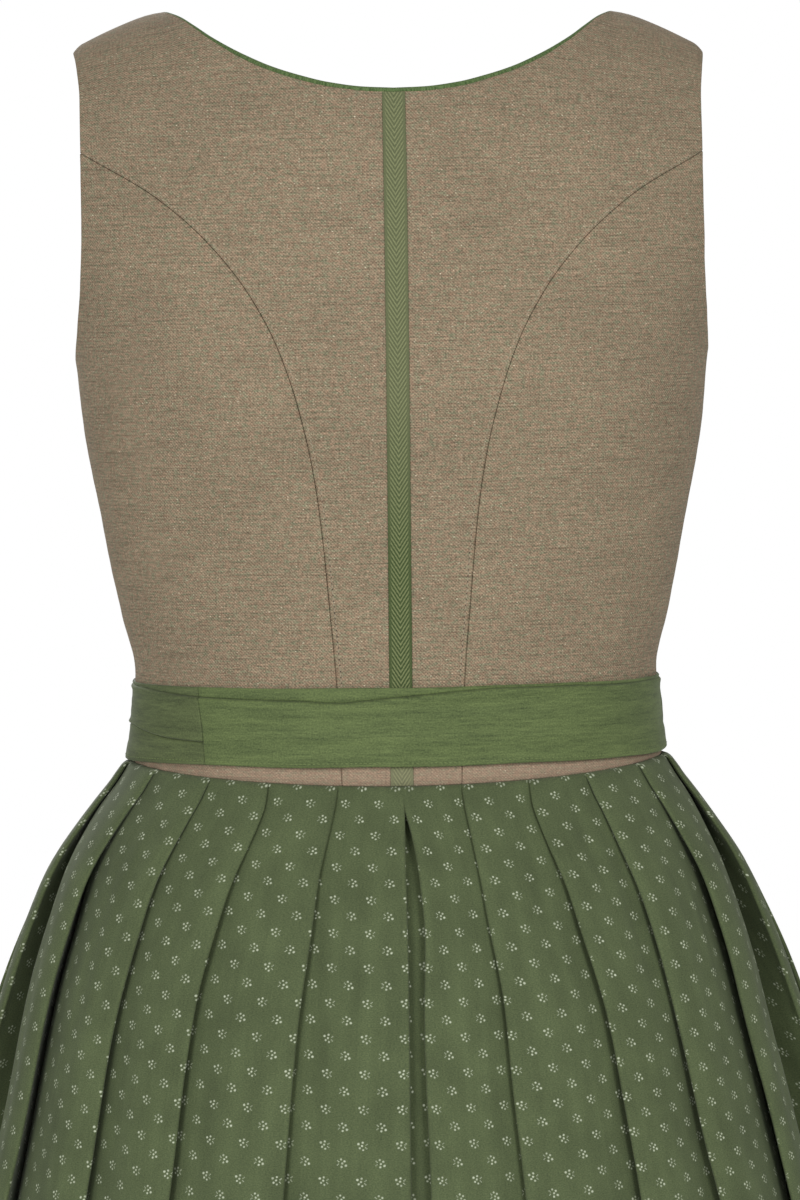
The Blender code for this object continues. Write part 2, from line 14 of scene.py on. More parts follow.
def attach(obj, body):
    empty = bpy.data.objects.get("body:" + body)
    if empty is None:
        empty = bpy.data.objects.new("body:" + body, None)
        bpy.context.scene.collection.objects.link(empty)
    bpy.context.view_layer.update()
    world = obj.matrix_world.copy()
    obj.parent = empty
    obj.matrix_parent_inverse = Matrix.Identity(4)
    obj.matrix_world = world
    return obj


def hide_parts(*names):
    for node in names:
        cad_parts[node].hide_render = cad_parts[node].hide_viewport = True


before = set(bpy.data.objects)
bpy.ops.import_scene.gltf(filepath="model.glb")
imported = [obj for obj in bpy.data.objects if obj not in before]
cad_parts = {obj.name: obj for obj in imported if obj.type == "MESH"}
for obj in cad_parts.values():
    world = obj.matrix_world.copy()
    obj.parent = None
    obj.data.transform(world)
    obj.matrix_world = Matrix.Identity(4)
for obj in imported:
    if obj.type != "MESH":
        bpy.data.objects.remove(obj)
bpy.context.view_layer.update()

MM = 0.001
CLOTH_MAP = "cloth"

# ---------------------------------------------------------------- the cut, as the solids have it

SHOULDER_RISE = 380.3
SEAM = 0.3
SIDE_SEAM = 0.5
LIFT = 1.4

NECK_X = 111.8
TIP_X = 156.6
TIP_RISE = 360.8
SHOULDER_SLOPE = (SHOULDER_RISE - TIP_RISE) / (TIP_X - NECK_X)
SHOULDER_ROUND = 85.0
SHOULDER_TILT = 0.009  # drop of the right shoulder for each mm from the middle
TILT_FROM, TILT_SPAN = 180.0, 160.0  # rise where that starts, and over which it grows
CORNER_ROUND = 13.0  # how far from the neck point the strap's top starts to round
CORNER_DROP = 1.5
TIP_ROUND = 5.0
TIP_DROP = 2.4
RIDGE_BULGE = 1.2  # the strap is cut a little full between its two ends
NECK_RISE = SHOULDER_RISE - CORNER_DROP
TIP_TOP = TIP_RISE - TIP_DROP
UNDERARM_RISE = 208.0
SEAM_DIP = 6.8
WAIST_DROP = 1.4  # how far the seam lies below the rise it is cut to
BACK_SEAM_TOP = 308.4
FRONT_SEAM_TOP = 256.0

TAPE_WIDTH = 11.2
PIPING_RADIUS = 0.85
PIPING_AWAY = 1.1
PLACKET_WIDTH = 20.0
PLACKET_TOP = 203.0
BUTTON_RISES = [62.0 + 26.5 * n for n in range(6)]
BUTTON_RADIUS = 5.5
BUTTON_THICK = 2.4

BAND_LIFT = 3.9
BAND_LOW = 8.5
BAND_HIGH = 47.0
BAND_JOIN = 47.0
KNOT_TURN = -150.0
TURN_PER_MM = 0.44

SKIRT_LENGTH = 690.0
PLEAT_VISIBLE = 36.5
PLEAT_UNDER = 35.0
PLEAT_STACK = 8.0
FOLD_GAP = 1.7
SIDE_CREASE = 5

APRON_LENGTH = 640.0
APRON_TURN = 62.0
APRON_GATHERS = 10

# rise, half width, depth behind the side seam, depth in front of it
BODICE = (
    (0, 133, 88, 106), (35, 130.6, 87.5, 107), (50, 130.3, 88, 109), (80, 136.7, 91, 116),
    (110, 142.5, 95, 125), (140, 148, 99, 133), (170, 153.5, 102.5, 137), (208, 157.8, 105.5, 133),
    (228, 161.5, 106, 126), (248, 167, 106, 117), (268, 173, 105, 108), (293, 178, 102, 98),
    (323, 181, 95, 86), (345, 181, 88, 77), (381, 181, 78, 66),
)

# rise, distance of the armhole's edge from the middle of the dress
ARMHOLE = (
    (208, 157.8), (216, 156.9), (226, 156), (241, 154.5), (260, 153.5), (300, 153), (335, 153.3),
    (350, 155), (358, 156.6),
)

# rise, distance of the seam from the middle of the dress
BACK_PRINCESS = (
    (0, 29.1), (46.6, 31), (90.2, 34.5), (129, 38.1), (158.1, 42.3), (187.2, 49.1), (213.9, 58.2),
    (240.6, 72.4), (264.8, 91.6), (286.7, 116.6), (308.4, 153),
)
FRONT_PRINCESS = (
    (0, 45), (60, 52), (110, 61), (150, 71), (185, 85), (215, 104), (235, 124), (256, 153.7),
)

# distance from the middle, rise
BACK_NECK = (
    (0, 336.8), (14.6, 337.4), (31.9, 339.8), (44.6, 343), (59.8, 348), (73.5, 354.6),
    (88.7, 364.2), (96.8, 370.4), (104.4, 375.6), (NECK_X, NECK_RISE),
)

# rise, distance from the middle
FRONT_NECK = (
    (205, 0), (206, 22), (208.5, 38), (212.5, 52), (221, 68), (232, 80), (248, 91), (275, 101),
    (308, 107.5), (350, 111), (NECK_RISE, NECK_X),
)

# depth below the waist seam, half width over the pleats, depth behind, depth in front
SKIRT = (
    (0, 139.5, 96.5, 115), (3, 140, 97, 115.5), (8, 142.6, 100, 118), (17, 149.2, 106, 123.5),
    (31.5, 159.3, 115, 131), (51.5, 172.8, 127, 141), (71.5, 182.5, 137, 149),
    (101.5, 195.3, 148, 158), (157, 214, 168, 175), (214, 231, 185, 190), (300, 252, 206, 208),
    (450, 284, 239, 240), (SKIRT_LENGTH, 322, 284, 284),
)

# depth below the waist seam, then the turn of each pleat's outer crease, 1 to 9
CREASES = (
    (0, 13.8, 29, 44, 63.2, 84, 104, 122, 140, 160),
    (15, 13.6, 27.9, 43.8, 62.9, 82.5, 102.5, 120.5, 138.5, 159.5),
    (52, 13.9, 29, 43.6, 61.6, 79.5, 98.5, 117.5, 136.5, 158),
    (110, 14.7, 30.4, 43.6, 59.8, 76.5, 95.5, 114.5, 134.5, 157),
    (190, 15.1, 30.1, 42.8, 58, 75, 94, 113.5, 133.5, 156.5),
    (SKIRT_LENGTH, 15.5, 31.5, 47, 63, 80, 97.5, 115.5, 134.5, 156.5),
)

# ---------------------------------------------------------------- creases, placed one by one

# turn, how far the edge of the band's folded top lies below its upper edge
BAND_FOLD = (
    (-150, 2), (-77, 1.8), (-46, 2.2), (-31, 0.4), (-26.7, 1), (-11.6, 3), (1, 5.3), (14, 8),
    (22.6, 6.8), (44, 5.8), (57.5, 4.4), (80, 1.6), (130, 3.5), (170, 6), (210, 2),
)

# turn, rise of the lower crease across the tie
TIE_CREASE = (
    (47, 20.5), (58, 21.5), (70, 24), (82, 26.5), (100, 25), (140, 18), (210, 24),
)

# side (0 for both), pleat, share of the panel's width, depth where it starts and where it ends, how
# deep, half width; a negative depth makes a ridge
PANEL_TROUGHS = (
    (1, 0, 0.3, 5, 140, 0.9, 4), (0, 1, 0.34, 8, 190, 1.1, 4.5), (0, 1, 0.16, 60, 330, 0.7, 5),
    (1, 2, 0.26, 6, 120, 1.3, 4), (0, 2, 0.42, 90, 420, 1, 6), (1, 3, 0.18, 4, 110, 1.4, 3.5),
    (1, 3, 0.33, 10, 150, 1.5, 4), (-1, 2, 0.24, 12, 70, 2.2, 4), (-1, 2, 0.4, 20, 120, 2.4, 4.5),
    (-1, 2, 0.55, 60, 330, 1.6, 4.5), (-1, 3, 0.3, 30, 200, 1.2, 4), (-1, 0, 0.22, 40, 200, 0.8, 5),
    (0, 3, 0.36, 160, 520, 1, 6), (0, 4, 0.28, 20, 260, 1.3, 5), (0, 5, 0.32, 8, 170, 1.1, 4.5),
    (0, 6, 0.24, 12, 240, 1.2, 5), (0, 7, 0.36, 30, 330, 0.9, 5.5), (0, 8, 0.26, 8, 150, 1.2, 4.5),
)

# how far each pleat of a side stands open down to the hem, from the centre back to the front
OPEN_PLEATS = (0.0, 0.04, 0.12, 0.25, 0.4, 1.0, 1.0, 0.7, 0.4, 0.3)

# depth below the waist seam, distance of the centre opening's edge from the middle, on each side
CENTRE_EDGES = (
    (0, 0.4, 0.4), (8, 0.4, 1.5), (25, 0.5, 5.5), (45, 0.6, 8.6), (70, 0.6, 10.6), (118, 0.9, 9.4),
    (205, 1.2, 10.6), (SKIRT_LENGTH, 3, 15),
)

# signed turn and rise of its two ends, how deep, half width: soft drag lines of the bodice
BODICE_DRAGS = (
    (84, 62, 40, 78, 0.8, 5), (86, 90, 55, 112, 0.7, 6), (-85, 66, -48, 84, 0.8, 5.5),
    (-86, 104, -60, 126, 0.6, 6), (70, 150, 48, 178, 0.5, 8), (-66, 160, -44, 190, 0.5, 8),
    (96, 70, 140, 88, 0.8, 5.5), (-95, 64, -138, 80, 0.8, 5.5), (98, 190, 128, 160, 0.9, 6.5),
    (-98, 192, -126, 158, 0.9, 6.5),
)


def curve(rows, column=1):
    """A smooth line through a column of a table, against its first, that doesn't overshoot."""
    table = np.array(rows, dtype=float)
    xs, ys = table[:, 0], table[:, column]
    steps = np.diff(xs)
    slopes = np.diff(ys) / steps
    tangents = np.concatenate([slopes[:1], np.zeros(len(xs) - 2), slopes[-1:]])
    for i in range(1, len(xs) - 1):
        before, after = slopes[i - 1], slopes[i]
        if before * after > 0:
            tangents[i] = 2 * before * after / (before + after)

    def at(x):
        x = np.clip(x, xs[0], xs[-1])
        i = np.minimum(np.searchsorted(xs, x, side="right") - 1, len(steps) - 1)
        t = (x - xs[i]) / steps[i]
        start = (2 * t**3 - 3 * t**2 + 1) * ys[i] + (t**3 - 2 * t**2 + t) * steps[i] * tangents[i]
        end = (3 * t**2 - 2 * t**3) * ys[i + 1] + (t**3 - t**2) * steps[i] * tangents[i + 1]
        return start + end

    return at


body_width = curve(BODICE)
body_back = curve(BODICE, 2)
body_front = curve(BODICE, 3)
armhole_x = curve(ARMHOLE)
back_princess_x = curve(BACK_PRINCESS)
front_princess_x = curve(FRONT_PRINCESS)
back_neck_rise = curve(BACK_NECK)
front_neck_x = curve(FRONT_NECK)
skirt_width = curve(SKIRT)
skirt_back_depth = curve(SKIRT, 2)
skirt_front_depth = curve(SKIRT, 3)
crease_turns = [curve(CREASES, k) for k in range(1, 10)]
centre_edges = {1.0: curve(CENTRE_EDGES), -1.0: curve(CENTRE_EDGES, 2)}
band_fold = curve(BAND_FOLD)
tie_crease = curve(TIE_CREASE)


def ease(t):
    """0 below 0, 1 above 1 and a soft step between."""
    t = np.clip(t, 0.0, 1.0)
    return t * t * (3 - 2 * t)


def wander(place, seed):
    """An uneven wave between about -1 and 1, the same each time for the same seed."""
    chance = np.random.default_rng(seed)
    total = 0.0
    for wave in range(4):
        pace = (1 + 0.7 * wave) * chance.uniform(0.7, 1.3)
        total = total + np.sin(place * pace + chance.uniform(0, 2 * np.pi)) / (1 + wave)
    return total / 1.6


def unit(vectors):
    return vectors / np.maximum(np.linalg.norm(vectors, axis=-1, keepdims=True), 1e-9)


def hump(x):
    """A bell of height 1 at 0, that has sunk to about a third at 1."""
    return np.exp(-(x**2))


def paired(first, second):
    return np.stack(np.broadcast_arrays(first, second), axis=-1)


def signed(turn):
    """The same turn between -180 and 180."""
    return (turn + 180.0) % 360.0 - 180.0


def run_lengths(path):
    """Length along a path to each of its points."""
    steps = np.linalg.norm(np.diff(path, axis=0), axis=-1)
    return np.concatenate([[0.0], np.cumsum(steps)])


# ---------------------------------------------------------------- the form of the body


def waist_rise(turn):
    """Height of the waist seam, which dips at the centre back and the centre front."""
    aside = np.sin(np.radians(turn)) ** 2
    return SEAM_DIP * aside - WAIST_DROP * (1.0 - aside**4)


def ridge_rise(x):
    """Height of the shoulder's ridge at a distance from the middle, rounded off at its ends."""
    neck_end = CORNER_DROP * np.clip(1.0 - np.abs(x - NECK_X) / CORNER_ROUND, 0.0, 1.0) ** 2
    tip_end = TIP_DROP * np.clip((x - TIP_X + TIP_ROUND) / TIP_ROUND, 0.0, 1.0) ** 2
    bulge = RIDGE_BULGE * np.sin(np.pi * np.clip((x - NECK_X) / (TIP_X - NECK_X), 0.0, 1.0))
    return SHOULDER_RISE - (x - NECK_X) * SHOULDER_SLOPE + bulge - neck_end - tip_end


def turn_of(x, rise):
    """Turn at which the bodice's section passes a distance from the middle, on its back half."""
    return np.degrees(np.arcsin(np.minimum(x / body_width(rise), 1.0)))


def beside(seam_x, rise):
    """Half the gap of a slanting seam, measured level: it shows as a thin dark line."""
    slope = (seam_x(rise + 1.0) - seam_x(rise - 1.0)) / 2.0
    return 0.18 * np.sqrt(1.0 + slope**2)


def waist_low(turn, rise):
    """How far a row near the waist is raised, so that the lowest one follows the waist seam."""
    return (waist_rise(turn) + SEAM) * np.maximum(0.0, 1.0 - rise / 100.0)


def armhole_turn(rise):
    return turn_of(armhole_x(rise), rise)


def bodice_point(turn, rise, back, lift=0.0):
    """Points of the bodice, on its back half or, for the same turn, on its front half."""
    turn, rise, lift = np.broadcast_arrays(turn, rise, lift)
    angle = np.radians(turn)
    width = body_width(rise)
    depth = np.where(back, body_back(rise), body_front(rise))
    x = width * np.sin(angle)
    below = np.clip((ridge_rise(x) - rise) / SHOULDER_ROUND, 0.0, 1.0)
    y = depth * np.cos(angle) * np.sqrt(1.0 - (1.0 - below) ** 2) + SIDE_SEAM / 2
    outward = unit(np.stack([np.sin(angle) / width, np.cos(angle) / depth], axis=-1))
    side = np.where(back, 1.0, -1.0)
    x, y = x + outward[..., 0] * lift, side * (y + outward[..., 1] * lift)
    return np.stack([x, y, rise], axis=-1)


def wrap_point(turn, rise, lift):
    """Points round the waist at any turn, a lift out from the bodice."""
    turn = signed(turn)
    back = np.abs(turn) <= 90.0
    points = bodice_point(np.where(back, np.abs(turn), 180.0 - np.abs(turn)), rise, back, lift)
    points[..., 0] *= np.where(turn >= 0, 1.0, -1.0)
    return points


def round_length(turn, rise, back):
    """Length along the bodice's section from the middle to a turn."""
    angle = np.radians(turn)
    width = body_width(rise)
    depth = np.where(back, body_back(rise), body_front(rise))
    return width * angle + (depth - width) * (angle / 2 - np.sin(2 * angle) / 4)


def skirt_point(turn, depth, lift=0.0):
    """Points of the line that the skirt's outer creases lie on."""
    angle = np.radians(turn)
    deep = np.where(np.cos(angle) >= 0, skirt_back_depth(depth), skirt_front_depth(depth))
    wide = skirt_width(depth)
    return np.stack([(wide + lift) * np.sin(angle), (deep + lift) * np.cos(angle)], axis=-1)


def skirt_normal(turn, depth):
    """Level direction out of the line that the outer creases lie on."""
    angle = np.radians(turn)
    deep = np.where(np.abs(turn) <= 90.0, skirt_back_depth(depth), skirt_front_depth(depth))
    return unit(np.stack([np.sin(angle) / skirt_width(depth), np.cos(angle) / deep], axis=-1))


# ---------------------------------------------------------------- meshes


def outward_normals(points):
    """Unit normals of a grid of points, pointing away from the middle of the dress."""
    normals = unit(np.cross(np.gradient(points, axis=1), np.gradient(points, axis=0)))
    facing = np.sum(normals[..., :2] * points[..., :2])
    return normals if facing >= 0 else -normals


# axis of each edge, and whether it is at the axis's start
EDGES = {
    "first_row": (0, True), "last_row": (0, False),
    "first_column": (1, True), "last_column": (1, False),
}
FOLD_ANGLES = np.radians((0.0, 35.0, 65.0, 90.0))


def turn_in(points, chart, turnings, wall):
    """Folds a narrow turning in behind the edges of a grid, as sewn edges have; turnings holds each
    edge's name, the radius of its fold, how far its turning goes in and how far it leans out, to
    meet the one of the next panel."""
    normals = outward_normals(points)
    for edge, fold, reach, meet in turnings:
        axis, at_start = EDGES[edge]
        grids = [np.moveaxis(grid, axis, 1) for grid in (points, chart, normals)]
        if at_start:
            grids = [grid[:, ::-1] for grid in grids]
        grid, uv, outward = grids
        last, normal = grid[:, -1], outward[:, -1]
        along = unit(last - grid[:, -2])
        added = []
        for angle in FOLD_ANGLES:
            away = wall / 2 + fold * (1 - np.sin(angle))
            added.append(last - along * away - normal * fold * (1 - np.cos(angle)))
        added.append(added[-1] - normal * reach + along * meet)
        added = np.stack(added, axis=1)
        drift = unit(uv[:, -1] - uv[:, -2])
        lengths = np.cumsum(np.linalg.norm(np.diff(added, axis=1), axis=-1), axis=1)
        lengths = np.concatenate([np.zeros((len(last), 1)), lengths], axis=1)[..., None]
        ends = (added, uv[:, -1:] + drift[:, None] * lengths, normal[:, None] + 0 * added)
        grids = [np.concatenate([g[:, :-1], end], axis=1) for g, end in zip(grids, ends)]
        if at_start:
            grids = [grid[:, ::-1] for grid in grids]
        points, chart, normals = (np.moveaxis(grid, 1, axis) for grid in grids)
    return points, chart


def place(points):
    """Points in metres, in the frame of the solids."""
    placed = np.array(points, dtype=float).reshape(-1, 3)
    tilt = SHOULDER_TILT * placed[:, 0] * ease((placed[:, 2] - TILT_FROM) / TILT_SPAN)
    placed[:, 2] += tilt - SHOULDER_RISE
    return placed * MM


def finished(piece, wall, smooth_angle=50.0):
    """Gives a piece its wall, makes its modifiers real and smooths it."""
    if wall:
        solid = piece.modifiers.new("Cloth", "SOLIDIFY")
        solid.thickness = wall * MM
        solid.offset = 0.0
    graph = bpy.context.evaluated_depsgraph_get()
    real = bpy.data.meshes.new_from_object(piece.evaluated_get(graph))
    piece.modifiers.clear()
    piece.data = real
    real.name = piece.name
    real.shade_smooth()
    real.set_sharp_from_angle(angle=np.radians(smooth_angle))
    return piece


def new_piece(name, points, faces, material, charts=None):
    """A mesh object from points in millimetres; charts holds each one's place on flat cloth."""
    mesh = bpy.data.meshes.new(name)
    mesh.from_pydata(place(points).tolist(), [], faces)
    mesh.materials.append(material)
    if charts is not None:
        layer = mesh.uv_layers.new(name=CLOTH_MAP)
        corners = np.empty(len(mesh.loops), dtype=np.int64)
        mesh.loops.foreach_get("vertex_index", corners)
        layer.uv.foreach_set("vector", np.asarray(charts, np.float32)[corners].ravel())
    piece = bpy.data.objects.new(name, mesh)
    bpy.context.scene.collection.objects.link(piece)
    bpy.context.view_layer.update()
    return piece


def cloth(name, points, chart, wall, material):
    """A sheet of cloth through a grid of points."""
    down, across = points.shape[:2]
    corner = np.arange(down * across).reshape(down, across)
    faces = np.stack([corner[:-1, :-1], corner[:-1, 1:], corner[1:, 1:], corner[1:, :-1]], axis=-1)
    piece = new_piece(name, points, faces.reshape(-1, 4).tolist(), material, chart.reshape(-1, 2))
    return finished(piece, wall)


def closed_rings(count, sides):
    """Faces between rings of points, and one across each end."""
    faces = []
    for ring in range(0, (count - 1) * sides, sides):
        for i in range(sides):
            k = (i + 1) % sides
            faces.append((ring + i, ring + k, ring + sides + k, ring + sides + i))
    faces.append(tuple(reversed(range(sides))))
    faces.append(tuple(range((count - 1) * sides, count * sides)))
    return faces


def tube(name, path, outward, upward, profile, material):
    """A cord along a path, with a section given as (angle, radius), and its own cloth map."""
    angles, radii = profile
    out, up = np.cos(angles)[None, :, None], np.sin(angles)[None, :, None]
    ring = radii[None, :, None] * (out * outward[:, None] + up * upward[:, None])
    points = path[:, None] + ring
    count, sides = points.shape[:2]
    lengths = run_lengths(path)
    chart = paired(lengths[:, None], (angles * radii.mean())[None, :])
    faces = closed_rings(count, sides)
    return finished(new_piece(name, points, faces, material, chart.reshape(-1, 2)), 0.0)


STITCH_HALF = 0.36  # half a stitch, as a share of the pitch
STITCH_SUNK = 0.15
DENT_RADIUS = 0.45


def laid(marks, lengths, values):
    """Values along a path at some marks of its length."""
    return np.stack([np.interp(marks, lengths, values[:, axis]) for axis in range(3)], -1)


def sewn(name, runs, pitch, thread, hole=None, width=0.55, height=0.35):
    """Lines of stitches as one piece: runs holds (points, outward directions) of each line."""
    points, faces, shades = [], [], []
    for path, outward in runs:
        lengths = run_lengths(path)
        count = int(lengths[-1] / pitch)
        marks = (np.arange(count) + 0.5) * pitch
        starts = laid(marks - pitch * STITCH_HALF, lengths, path)
        ends = laid(marks + pitch * STITCH_HALF, lengths, path)
        for start, end, up in zip(starts, ends, unit(laid(marks, lengths, outward))):
            along = unit(end - start)
            side = np.cross(up, along)
            first = len(points)
            points.append(start - up * STITCH_SUNK)
            for share in (0.22, 0.78):
                middle = start + (end - start) * share
                points.append(middle + side * width / 2)
                points.append(middle + up * height)
                points.append(middle - side * width / 2)
                points.append(middle - up * STITCH_SUNK)
            points.append(end - up * STITCH_SUNK)
            for i in range(4):
                k = (i + 1) % 4
                faces.append((first, first + 1 + k, first + 1 + i))
                faces.append((first + 1 + i, first + 1 + k, first + 5 + k, first + 5 + i))
                faces.append((first + 5 + i, first + 5 + k, first + 9))
            shades += [0] * 12
            if hole is None:
                continue
            # the needle's hole past the end of the stitch: a small dark dot, painted shade for the
            # dent
            first = len(points)
            middle = end + along * pitch * 0.14
            for corner in range(6):
                turn = corner * np.pi / 3
                away = np.cos(turn) * along + np.sin(turn) * side
                points.append(middle + away * DENT_RADIUS + up * 0.06)
            points.append(middle + up * 0.1)
            points.append(middle - up * 0.2)
            for i in range(6):
                k = (i + 1) % 6
                faces.append((first + i, first + k, first + 6))
                faces.append((first + k, first + i, first + 7))
            shades += [1] * 12
    piece = new_piece(name, np.array(points), faces, thread)
    if hole is not None:
        piece.data.materials.append(hole)
        piece.data.polygons.foreach_set("material_index", np.array(shades, dtype=np.int32))
    bpy.context.view_layer.objects.active = piece
    return finished(piece, 0.0, 80.0)


def keep(piece, slot, node=None, **sheet):
    """Puts a piece on its body, in the place of its solid; the sheet's flat size it is given is not
    used.
    """
    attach(piece, "root")
    if node:
        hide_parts(node)


# ---------------------------------------------------------------- materials


def linear(code):
    """An sRGB hex colour as the linear RGBA that a node takes."""
    channels = [int(code[i : i + 2], 16) / 255 for i in (1, 3, 5)]
    return (*[c / 12.92 if c <= 0.04045 else ((c + 0.055) / 1.055) ** 2.4 for c in channels], 1.0)


def add(tree, kind, inputs=None, stops=None, **settings):
    """Adds one shader node: inputs gives each socket a value or another node's first output."""
    made = tree.nodes.new("ShaderNode" + kind)
    for name, value in settings.items():
        setattr(made, name, value)
    for socket, value in (inputs or {}).items():
        if isinstance(value, bpy.types.Node):
            tree.links.new(value.outputs[0], made.inputs[socket])
        elif isinstance(value, bpy.types.NodeSocket):
            tree.links.new(value, made.inputs[socket])
        else:
            made.inputs[socket].default_value = value
    if stops:
        elements = made.color_ramp.elements
        for position, _ in stops[2:]:
            elements.new(position)
        for element, (position, colour) in zip(elements, sorted(stops)):
            element.position = position
            grey = not isinstance(colour, str)
            element.color = (colour, colour, colour, 1.0) if grey else linear(colour)
    return made


def mix(tree, share, first, second, blend="MIX"):
    inputs = {"Fac": share, "Color1": first, "Color2": second}
    return add(tree, "MixRGB", inputs, blend_type=blend)


def multiplied(tree, colour, *shades):
    for shade in shades:
        colour = mix(tree, 1.0, colour, shade, "MULTIPLY")
    return colour


def ramp(tree, value, *stops):
    return add(tree, "ValToRGB", {"Fac": value}, stops)


def noise(tree, vector, scale, detail, rough=0.5):
    inputs = {"Vector": vector, "Scale": scale, "Detail": detail, "Roughness": rough}
    return add(tree, "TexNoise", inputs)


def remap(tree, value, low, high, to_low=0.0, to_high=1.0):
    ends = {"From Min": low, "From Max": high, "To Min": to_low, "To Max": to_high}
    return add(tree, "MapRange", {"Value": value, **ends})


def maths(tree, operation, *values):
    return add(tree, "Math", dict(enumerate(values)), operation=operation)


def vector_maths(tree, operation, *values):
    return add(tree, "VectorMath", dict(enumerate(values)), operation=operation)


def threads(tree, uv, across, along, detail=2.0, seed=0.0, rough=0.6, lean=0.0):
    """Noise drawn out to a thread's size across and along the cloth, in millimetres."""
    drawn = {
        "Scale": (1 / across, 1 / along, 1.0),
        "Location": (seed, seed, 0),
        "Rotation": (0, 0, np.radians(lean)),
    }
    return noise(tree, add(tree, "Mapping", {"Vector": uv, **drawn}), 1.0, detail, rough)


def new_material(name, roughness, sheen=0.0, specular=0.3):
    """A material and its tree, ready to be given a colour and a bump."""
    material = bpy.data.materials.new(name)
    material.use_nodes = True
    surface = material.node_tree.nodes["Principled BSDF"]
    surface.inputs["Roughness"].default_value = roughness
    surface.inputs["Specular IOR Level"].default_value = specular
    surface.inputs["Sheen Weight"].default_value = sheen
    surface.inputs["Sheen Roughness"].default_value = 0.5
    return material, material.node_tree


def new_cloth(name, roughness, sheen, specular):
    """The same for cloth, with the node that gives the place on its flat map."""
    material, tree = new_material(name, roughness, sheen, specular)
    return material, tree, add(tree, "UVMap", uv_map=CLOTH_MAP)


def surface(tree, colour, height=None, strength=0.0, distance=0.0):
    """Links a colour and, with its depth in millimetres, a bump to the tree's surface."""
    shader = tree.nodes["Principled BSDF"]
    tree.links.new(colour.outputs[0], shader.inputs["Base Color"])
    if height is not None:
        inputs = {"Height": height, "Strength": strength, "Distance": distance * MM}
        tree.links.new(add(tree, "Bump", inputs).outputs[0], shader.inputs["Normal"])


WAVE_PERIOD = 0.314  # of a wave texture at scale 1
PAINTED_LIGHT_FROM, PAINTED_LIGHT_TO = 13.0, 6.0  # rises between which the cloth below the band is painted paler: painted light


def linen_chambray():
    """Yarn-dyed linen in brown, rose and green threads: a flecked twill with slubs on the weft."""
    material, tree, uv = new_cloth("linen_chambray", 0.92, 0.06, 0.2)
    # threads are 0.4 mm thick, drawn 0.8 mm thick so that they show
    weft = threads(tree, uv, 7.0, 0.8, 2.0, 3.1)
    warp = threads(tree, uv, 0.8, 7.0, 2.0, 17.7)
    yarn = threads(tree, uv, 3.4, 1.3, 2.0, 41.3)
    grain = threads(tree, uv, 1.1, 0.9, 1.0, 12.4)
    nub = threads(tree, uv, 1.3, 0.8, 0.0, 61.9)
    streak = threads(tree, uv, 38.0, 0.9, 1.0, 29.5)
    cloud = threads(tree, uv, 60.0, 45.0, 2.0, 83.0)
    shade = mix(tree, 0.45, weft, warp)
    ground = ramp(tree, shade, (0.38, "#716451"), (0.63, "#AB9B82"))
    tint = ramp(tree, yarn, (0.34, "#7E896C"), (0.66, "#AB8A72"), (0.5, "#928069"))
    mixed = mix(tree, 0.5, ground, tint)
    lit = ramp(tree, nub, (0.74, 0.0), (0.84, 0.8))
    nubbed = mix(tree, lit, mixed, linear("#D2C8AF"))
    twill = 1.15  # its diagonals have a pitch of 0.8 mm, drawn coarser
    ribs = []
    for lean in (45.0, -45.0):
        drawn = {"Rotation": (0, 0, np.radians(lean)), "Scale": (*[WAVE_PERIOD / twill] * 2, 1)}
        slanted = add(tree, "Mapping", {"Vector": uv, **drawn})
        wave = {"Vector": slanted, "Scale": 1.0, "Distortion": 0.8, "Detail": 1.0}
        ribs.append(add(tree, "TexWave", wave))
    crossed = mix(tree, 0.35, *ribs)
    shades = (
        ramp(tree, crossed, (0.1, 0.78), (0.9, 1.20)),
        ramp(tree, grain, (0.3, 0.74), (0.7, 1.27)),
        ramp(tree, streak, (0.30, 0.80), (0.47, 0.985), (0.66, 1.06)),
        ramp(tree, cloud, (0.3, 0.92), (0.7, 1.04)),
    )
    colour = multiplied(tree, nubbed, *shades)
    # painted light: paler and rosier where it comes out below the band, against the band's shade
    level = add(tree, "SeparateXYZ", {0: uv})
    painted_light = remap(tree, level.outputs["Y"], PAINTED_LIGHT_FROM, PAINTED_LIGHT_TO, 0.0, 0.3)
    colour = mix(tree, painted_light, colour, linear("#BFA28E"))
    surface(tree, colour, mix(tree, 0.5, crossed, grain), 0.4, 0.3)
    return material


